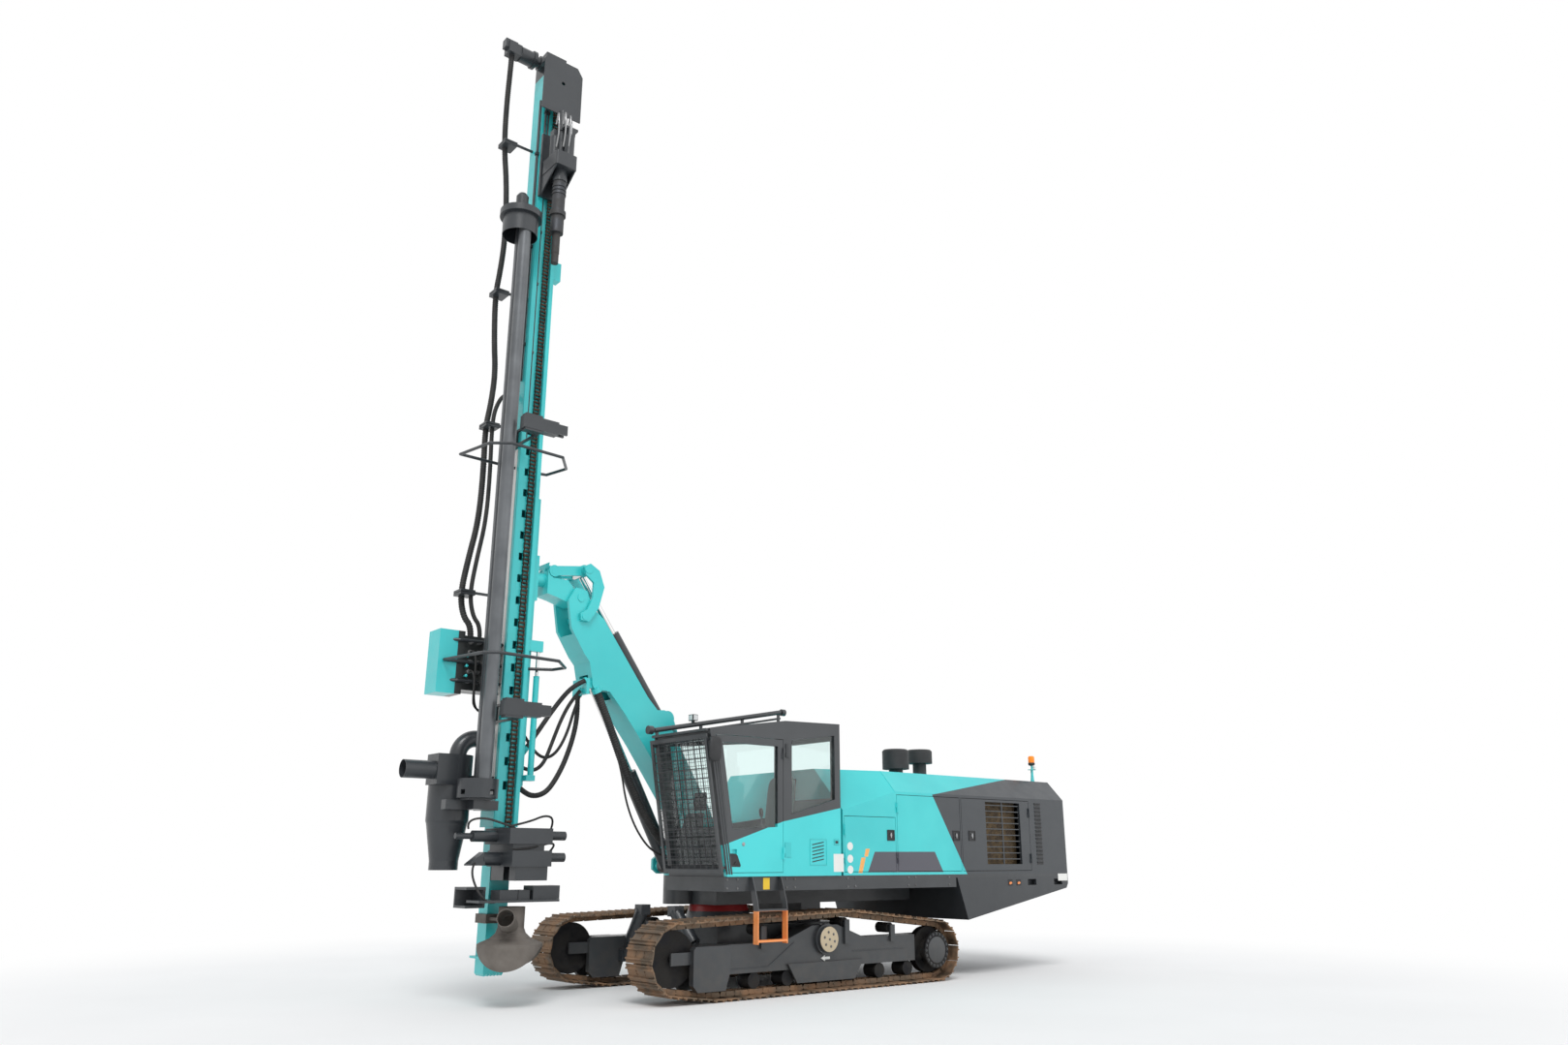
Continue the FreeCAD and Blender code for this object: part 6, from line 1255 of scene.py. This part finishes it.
for index, (low_y, high_y) in enumerate(console_ends):
    console = Shape()
    console.prism([(0.32, JUST_ABOVE_FLOOR), (0.86, JUST_ABOVE_FLOOR), (0.90, 1.60), (0.86, 1.76),
                   (0.40, 1.72),
                   (0.30, 1.66)], "Y", low_y, high_y)
    console.finish("arm_console_%d" % index, "chassis", console_plastic, "interior", bevel=0.010,
                   replaced="cab_interior")
    middle_y = (low_y + high_y) / 2
    lever = Shape()
    lever.turned((0.80, middle_y, 1.752), (0.12, 0, 1), [
        (0.0, 0.036), (0.010, 0.034), (0.035, 0.022), (0.055, 0.012), (0.10, 0.011),
        (0.11, 0.020), (0.15, 0.024), (0.185, 0.021), (0.195, 0.012)], 18)
    lever.finish("lever_%d" % index, "chassis", black_plastic, "black_plastic")
    dials = Shape()
    for x in (0.50, 0.60):
        dials.turned((x, middle_y, 1.728 + (x - 0.5) * 0.085), (0, 0, 1), [(0.0, 0.034), (0.006, 0.034),
                                                                          (0.008, 0.026), (0.016, 0.022)], 18)
    dials.finish("console_knobs_%d" % index, "chassis", black_plastic, "black_plastic")
dash = Shape()
dash.prism([(1.29, JUST_ABOVE_FLOOR), (1.375, JUST_ABOVE_FLOOR), (1.40, 1.70), (1.31, 1.90), (1.25, 1.90)],
           "Y",
           0.26, 0.52)
dash.block((1.20, 0.365, 1.865), (1.29, 0.395, 1.895))
dash.finish("dash_post", "chassis", console_plastic, "interior", bevel=0.008, replaced="cab_interior")
Shape().block((1.185, 0.272, 1.932), (1.222, 0.478, 2.128)).finish(
    "dash_screen", "chassis", black_plastic, "black_plastic", bevel=0.006)
print("cab interior done")

# %% [markdown]
# ## Hoses up the mast
#
# A ribbed bundle climbs beside the mast to the motor on top, and a thinner one leaves it half way. Both ride
# on the mast and never move against it, so they are sleeves along smooth lines, held by block clamps on arms.

# %% Hoses and clamps on the mast
MAST_ROUTES = {
    "main": (0.036, [
        (3.950, -0.215, 11.1047), (3.950, -0.215, 10.960), (3.895, -0.370, 10.480), (3.845, -0.450, 9.950),
        (3.768, -0.455, 9.420), (3.735, -0.452, 8.700), (3.762, -0.452, 8.250), (3.801, -0.455, 7.900),
        (3.768, -0.453, 7.300), (3.722, -0.452, 6.900), (3.745, -0.454, 6.500), (3.789, -0.455, 6.200),
        (3.770, -0.453, 5.600), (3.785, -0.453, 5.050), (3.868, -0.450, 4.600), (3.925, -0.450, 4.200),
        (3.880, -0.435, 3.950), (3.792, -0.394, 3.840), (3.792, -0.394, 3.6903)]),
    "side": (0.026, [
        (3.5203, -0.345, 6.635), (3.635, -0.345, 6.635), (3.725, -0.368, 6.440), (3.745, -0.378, 6.200),
        (3.722, -0.377, 5.600), (3.728, -0.377, 5.050), (3.800, -0.376, 4.600), (3.850, -0.374, 4.200),
        (3.805, -0.355, 3.950), (3.718, -0.324, 3.840), (3.718, -0.324, 3.6903)]),
}
CLAMP_PLACES = [(3.845, 9.950), (3.801, 7.900), (3.789, 6.200), (3.925, 4.200)]
for route_name, (route_radius, route_points) in MAST_ROUTES.items():
    route = curve_object("mast_line_" + route_name, [route_points])
    piece = run_tree(route, sleeve, "mast_sleeve_" + route_name, sleeve_rubber, Radius=route_radius,
                     **{"Rib pitch": route_radius * 0.75, "Rib depth": route_radius * 0.16, "Sides": 12})
    fit(piece, "mast", replaced="mast_hoses")
clamps = Shape()
for x, z in CLAMP_PLACES:
    clamps.block((3.520, -0.340, z - 0.014), (x - 0.045, -0.312, z + 0.014))
    for low, high in ((-0.030, -0.002), (0.002, 0.030)):
        clamps.block((x - 0.112, -0.503, z + low), (x + 0.058, -0.307, z + high))
clamps.finish("hose_clamps", "mast", grey_paint, "frame_paint", bevel=0.004, replaced="mast_hoses")
clamp_bolts = [(x + dx, -0.503, z) for x, z in CLAMP_PLACES for dx in (-0.092, 0.042)]
bolts("hose_clamp_bolts", "mast", clamp_bolts, "-Y", 0.009, 0.008)
print("mast hoses done")

# %% [markdown]
# ## Rails, pipes and strips on the mast
#
# A pale wear strip lines the lower half of the mast's front edge, where the clamps slide. Above, two dark
# pipes and a rail climb to the top. Small clips hold them.

# %% Mast strip and pipes
strip = Shape()
strip.block((3.462, -0.110, 2.02), (3.512, -0.104, 5.90))
strip.block((3.520, -0.205, 2.02), (3.525, -0.120, 5.90))
strip.finish("wear_strip", "mast", white_paint, "chrome", bevel=0.0015)
strip_places = [(3.487, -0.104, 2.1 + 0.38 * index) for index in range(11)]
bolts("wear_strip_bolts", "mast", strip_places, "Y", 0.007, 0.004)
pipes = Shape()
for x, radius in ((3.488, 0.014), (3.448, 0.010)):
    pipes.bar((x, -0.090, 6.05), (x, -0.090, 10.62), radius, sides=14)
pipes.bar((3.540, -0.150, 6.75), (3.540, -0.150, 10.60), 0.016, sides=14)
for z in (6.2, 7.1, 8.0, 8.7, 9.6, 10.4):
    pipes.block((3.434, -0.110, z), (3.506, -0.072, z + 0.035))
for z in (7.2, 8.5, 9.8):
    pipes.block((3.520, -0.175, z), (3.562, -0.125, z + 0.04))
pipes.finish("mast_pipes", "mast", grey_paint, "frame_paint", bevel=0.0015)
Shape().block((3.234, -0.330, 2.30), (3.240, -0.170, 5.6)).finish(
    "mast_rear_seam", "mast", turquoise_paint, "turquoise", bevel=0.001)
print("mast trim done")

# %% [markdown]
# ## Valve box
#
# The box at the mast's foot is a turquoise cover over a black manifold. Short hoses with crimped ends leave
# the manifold in two rows. Each runs out, bends up or down and goes back behind the mast.

# %% Colour the manifold and add its hoses
MANIFOLD_FRONT_X = 4.035


def valve_colours(tree, place, turquoise):
    """The cover is turquoise; the block behind it, nearer the mast, is nearly black."""
    x = axes_of(tree, place)[0]
    return mix(tree, math_node(tree, "LESS_THAN", x, MANIFOLD_FRONT_X), turquoise, shade(38, 42, 42))


valve_paint = paint("valve_paint", *TURQUOISE, 0.32, colour_maker=valve_colours)
nodes["valve_box"].data.materials[0] = valve_paint
fittings = Shape()
for row in range(5):
    z = 3.20 + row * 0.105
    for column in range(3):
        x = 3.70 + column * 0.095
        fittings.turned((x, -0.170, z), (0, 1, 0),
                        [(0.0, 0.024), (0.020, 0.024), (0.021, 0.017), (0.052, 0.017)], 12)
fittings.finish("valve_fittings", "mast", bare_steel, "chrome")
valve_runs = []
for row, z in enumerate((3.20, 3.305, 3.41, 3.515, 3.62)):
    lift = 0.05 if row % 2 else -0.06
    valve_runs.append([(3.70, -0.118, z), (3.70, -0.060, z), (3.66, -0.025, z + lift),
                       (3.60, -0.060, z + lift * 1.6),
                       (3.545, -0.150, z + lift * 1.8)])
for column, (x, z) in enumerate(((3.795, 3.20), (3.795, 3.41), (3.89, 3.305), (3.89, 3.515))):
    valve_runs.append([(x, -0.118, z), (x, -0.055, z), (x - 0.02, -0.030, z - 0.10),
                       (x - 0.03, -0.060, z - 0.26),
                       (x - 0.07, -0.120, 2.98 - 0.03 * column), (x - 0.20, -0.200, 2.90)])


small_hose = tube_tree("small_hose", 10, True)


def hose_set(name, body, runs, radius, material):
    """Plain small hoses along smooth lines, joined in one mesh."""
    lines = curve_object(name + "_lines", runs, resolution=6)
    return fit(run_tree(lines, small_hose, name, material, Radius=radius), body)


hose_set("valve_hoses", "mast", valve_runs, 0.012, sleeve_rubber)
handles = Shape()
for z in (3.255, 3.36, 3.465):
    handles.bar((3.93, -0.172, z), (3.93, -0.128, z), 0.008, sides=10)
    handles.turned((3.93, -0.130, z), (0, 1, 0),
                   [(0.0, 0.010), (0.006, 0.016), (0.014, 0.016), (0.020, 0.009)], 14)
handles.finish("valve_handles", "mast", turquoise_paint, "turquoise")
print("valve box done")

# %% [markdown]
# ## Hoses at the clamps and the head
#
# Thin hoses loop between the clamp cylinders, and bright braided ones feed the head's motors.

# %% Clamp and head hoses
clamp_runs = [
    [(2.96, 0.12, 1.69), (2.94, 0.16, 1.80), (3.10, 0.26, 1.84), (3.34, 0.36, 1.76), (3.52, 0.34, 1.72)],
    [(2.96, 0.12, 1.47), (2.92, 0.18, 1.54), (3.06, 0.30, 1.56), (3.30, 0.38, 1.50), (3.50, 0.36, 1.49)],
    [(3.90, 0.16, 1.69), (3.94, 0.20, 1.76), (3.82, 0.30, 1.80), (3.62, 0.36, 1.74), (3.48, 0.34, 1.70)],
    [(3.80, 0.16, 1.37), (3.88, 0.24, 1.30), (3.86, 0.34, 1.12), (3.72, 0.36, 0.96), (3.60, 0.30, 1.00)],
]
hose_set("clamp_hoses", "mast", clamp_runs, 0.011, sleeve_rubber)
head_runs = []
for index, (x, y) in enumerate(((3.28, 0.16), (3.34, 0.24), (3.42, 0.26), (3.48, 0.20))):
    head_runs.append([(x, y, 10.08), (x, y + 0.02, 10.16), (x + 0.03, y + 0.10, 10.20),
                      (x + 0.05, y + 0.16, 10.06),
                      (x + 0.03, y + 0.12 + 0.01 * index, 9.86), (x, y + 0.04, 9.74)])
hose_set("head_hoses", "drill_head", head_runs, 0.010, bare_steel)
print("small hoses done")

# %% [markdown]
# ## Track frames, ladder and skirts
#
# The frames have a beige bolted hub plate, a ring of bolts on the final drive, a raised weld line and a white
# arrow that shows which way the machine faces. The ladder's lower half is orange, so that it shows against
# the tracks.

# %% Hub plates, drive bolts and arrows
HUB_Z = 0.543
HUB_FACE_Y, DRIVE_FACE_Y, FRAME_FACE_Y = 1.205, 1.203, 1.130
ARROW_BACK_Y, ARROW_FRONT_Y = 1.1301, 1.1400
DRIVE_X, DRIVE_Z = -1.745, 0.355
for side_name, side in (("left", 1), ("right", -1)):
    facing = "Y" if side > 0 else "-Y"
    disc_face = side * HUB_FACE_Y
    hub = Shape()
    hub.turned((0.0, disc_face, HUB_Z), (0, side, 0),
               [(0.0, 0.132), (0.003, 0.134), (0.008, 0.130), (0.010, 0.110)],
               40)
    hub.finish("hub_plate_" + side_name, "chassis", beige_paint, "track_steel")
    places = round_places((0.0, disc_face + side * 0.010, HUB_Z), 0.078, 6, 0.3)
    places.append((0.0, disc_face + side * 0.010, HUB_Z))
    bolts("hub_bolts_" + side_name, "chassis", places, facing, 0.010, 0.007)
    cover_face = side * DRIVE_FACE_Y
    ring = round_places((DRIVE_X, cover_face, DRIVE_Z), 0.182, 20)
    bolts("drive_bolts_" + side_name, "chassis", ring, facing, 0.012, 0.010, frame_paint)
    cap = Shape()
    cap.turned((DRIVE_X, cover_face, DRIVE_Z), (0, side, 0), [(0.0, 0.150), (0.006, 0.148), (0.016, 0.090),
                                                            (0.020, 0.030)], 36)
    cap.finish("drive_cap_" + side_name, "chassis", frame_paint, "frame_paint")
    frame_face = side * FRAME_FACE_Y
    weld = Shape()
    low, high = sorted((frame_face, frame_face + side * 0.006))
    for (x0, z0), (x1, z1) in (((1.36, 0.300), (0.82, 0.300)), ((0.82, 0.300), (0.45, 0.530)),
                               ((-0.42, 0.400), (-1.25, 0.395))):
        dx, dz = x1 - x0, z1 - z0
        length = math.hypot(dx, dz)
        nx, nz = -dz / length * 0.004, dx / length * 0.004
        weld.prism([(x0 + nx, z0 + nz), (x1 + nx, z1 + nz), (x1 - nx, z1 - nz), (x0 - nx, z0 - nz)], "Y", low,
                   high)
    weld.finish("weld_lines_" + side_name, "chassis", grey_paint, "frame_paint")
    arrow = Shape()
    arrow.prism([(0.065, 0.344), (0.010, 0.376), (0.010, 0.357), (-0.065, 0.357), (-0.065, 0.331),
                 (0.010, 0.331),
                 (0.010, 0.312)], "Y", *sorted((side * ARROW_BACK_Y, side * ARROW_FRONT_Y)))
    arrow.finish("white_arrow_" + side_name, "chassis", white_paint, "cab_paint")
print("track frames dressed")

# %% Ladder colours and skirt bolts
ORANGE_TOP = 0.87


def ladder_colours(tree, place, grey):
    """Orange below the skirt, grey above."""
    z = axes_of(tree, place)[2]
    return mix(tree, math_node(tree, "LESS_THAN", z, ORANGE_TOP), grey, ORANGE)


nodes["ladder"].data.materials[0] = paint("ladder_paint", shade(66, 68, 71), shade(58, 60, 63), 0.4,
                                          colour_maker=ladder_colours)
skirt_places = []
for x in (1.44, 1.30, 0.62, 0.50, -0.30, -0.42, -1.30, -1.42, -2.02):
    skirt_places.extend([(x, 1.2, 1.19), (x, 1.2, 1.10)])
bolts("skirt_bolts", "chassis", skirt_places, "Y", 0.010, 0.008)
marker = Shape()
marker.block((0.86, 1.2, 1.085), (0.95, 1.2025, 1.205))
marker.finish("yellow_plate", "chassis", paint("yellow_paint", shade(240, 200, 40), shade(230, 188, 30), 0.4),
              "amber", bevel=0.0005)
print("ladder and skirts done")

# %% Red pedestal
BEAM_TOP = 0.83
SADDLE_FRONT_X = -0.2


def pedestal_colours(tree, place, grey):
    """Red primer on the pedestal above the cross beams, grey below."""
    axes = axes_of(tree, place)
    above_beams = math_node(tree, "GREATER_THAN", axes[2], BEAM_TOP)
    before_saddle = math_node(tree, "GREATER_THAN", axes[0], SADDLE_FRONT_X)
    return mix(tree, math_node(tree, "MULTIPLY", above_beams, before_saddle), grey, shade(150, 26, 26))


nodes["carbody"].data.materials[0] = paint("carbody_paint", *FRAME_GREY, 0.42,
                                           dust=0.10, dust_top=0.7, colour_maker=pedestal_colours)
print("pedestal painted")

# %% [markdown]
# The working lamps on the roof rail have a bright reflector under clear glass: a round one at the front and
# the rear, and a square one near the front corner. Each gets a shallow bright lens, turned or pressed on its
# face.

# %% Lamp lenses
lamp_white = lens("lamp_white", shade(225, 228, 228), 0.15)
round_lamp = Shape()
round_lamp.turned((1.7702, 0.185, 2.811), (1, 0, 0), [(0.0, 0.040), (0.006, 0.037), (0.010, 0.022)], 28)
round_lamp.turned((-0.1782, 0.185, 3.165), (-1, 0, 0), [(0.0, 0.034), (0.006, 0.031), (0.010, 0.018)], 28)
round_lamp.finish("round_lamp_lens", "chassis", lamp_white, "cab_paint")
square_lamp = Shape()
for low_y, high_y in ((0.2302, 0.2362), (0.1338, 0.1398)):
    square_lamp.block((1.172, low_y, 2.964), (1.228, high_y, 3.026))
square_lamp.block((1.2352, 0.148, 2.966), (1.2412, 0.222, 3.024))
square_lamp.finish("square_lamp_lens", "chassis", lamp_white, "cab_paint", bevel=0.003)
print("lamp lenses fitted")

# %% [markdown]
# ## Floor, light and sky
#
# A plain pale floor takes the shadow. The sky is an even grey that lights every side, and one broad lamp from
# the front left, with a weaker one to fill its shadows, gives the panels their lighter and darker faces. Seen
# by the camera, in metal or through glass, sky and far floor are plain white.

# %% Set the stage
FADE_START, FADE_END = 6.0, 12.0
FLOOR_HALF = 60.0


def pale_floor():
    """A wide floor that keeps the rig's shadow and fades to white further out."""
    material, tree, shader, place = new_finish("pale_floor")
    tree.links.new(mix(tree, noise(tree, place, 0.4), shade(246, 246, 246), shade(243, 243, 243)),
                   shader.inputs["Base Color"])
    shader.inputs["Roughness"].default_value = 0.9
    far = add(tree, "ShaderNodeVectorMath", {0: place}, operation="LENGTH").outputs["Value"]
    share = add(tree, "ShaderNodeMapRange", {0: far, 1: FADE_START, 2: FADE_END},
                interpolation_type="SMOOTHSTEP").outputs[0]
    glow = add(tree, "ShaderNodeEmission", {0: (1.0, 1.0, 1.0, 1.0), 1: 1.0})
    both = add(tree, "ShaderNodeMixShader", {0: share, 1: shader.outputs[0], 2: glow.outputs[0]})
    end = [node for node in tree.nodes if node.type == "OUTPUT_MATERIAL"][0]
    tree.links.new(both.outputs[0], end.inputs[0])
    mesh = bpy.data.meshes.new("floor")
    half = FLOOR_HALF
    mesh.from_pydata([(-half, -half, 0), (half, -half, 0), (half, half, 0), (-half, half, 0)], [],
                     [(0, 1, 2, 3)])
    keep_object("floor", mesh, material)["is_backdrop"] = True


def soft_sky(level):
    """Even light from the world, and plain white where it is seen directly, mirrored or through glass."""
    world = bpy.data.worlds.new("sky")
    world.use_nodes = True
    bpy.context.scene.world = world
    tree = world.node_tree
    tree.nodes.clear()
    path = add(tree, "ShaderNodeLightPath")
    seen = math_node(tree, "ADD", path.outputs["Is Camera Ray"], path.outputs["Is Glossy Ray"], clamp=True)
    seen = math_node(tree, "ADD", seen, path.outputs["Is Transmission Ray"], clamp=True)
    light = add(tree, "ShaderNodeBackground", {0: (0.96, 0.98, 1.0, 1.0), 1: level})
    white = add(tree, "ShaderNodeBackground", {0: (1.0, 1.0, 1.0, 1.0), 1: 1.0})
    both = add(tree, "ShaderNodeMixShader", {0: seen, 1: light.outputs[0], 2: white.outputs[0]})
    add(tree, "ShaderNodeOutputWorld", {0: both.outputs[0]})


def broad_lamp(name, toward, strength, angle):
    """A sun lamp that shines along a direction, with soft edges to its shadows."""
    data = bpy.data.lights.new(name, "SUN")
    data.energy = strength
    data.angle = math.radians(angle)
    keep_object(name, data).rotation_euler = Vector(toward).to_track_quat("-Z", "Y").to_euler()


pale_floor()
soft_sky(0.62)
broad_lamp("main_lamp", (-0.55, -0.75, -1.1), 1.5, 25.0)
broad_lamp("fill_lamp", (0.5, -0.9, -0.25), 0.35, 60.0)
bpy.context.scene.view_settings.view_transform = "Standard"
print("stage set")

# %% [markdown]
# ## Measure the size and finish
#
# The box round everything shown is measured again at the end and printed, as the solids' box was at the
# start. What was added must stay in the solids' box, so that box is measured again at the end.

# %% Finish
low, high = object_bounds()
print("size after:", [round(b - a, 3) for a, b in zip(low, high)])
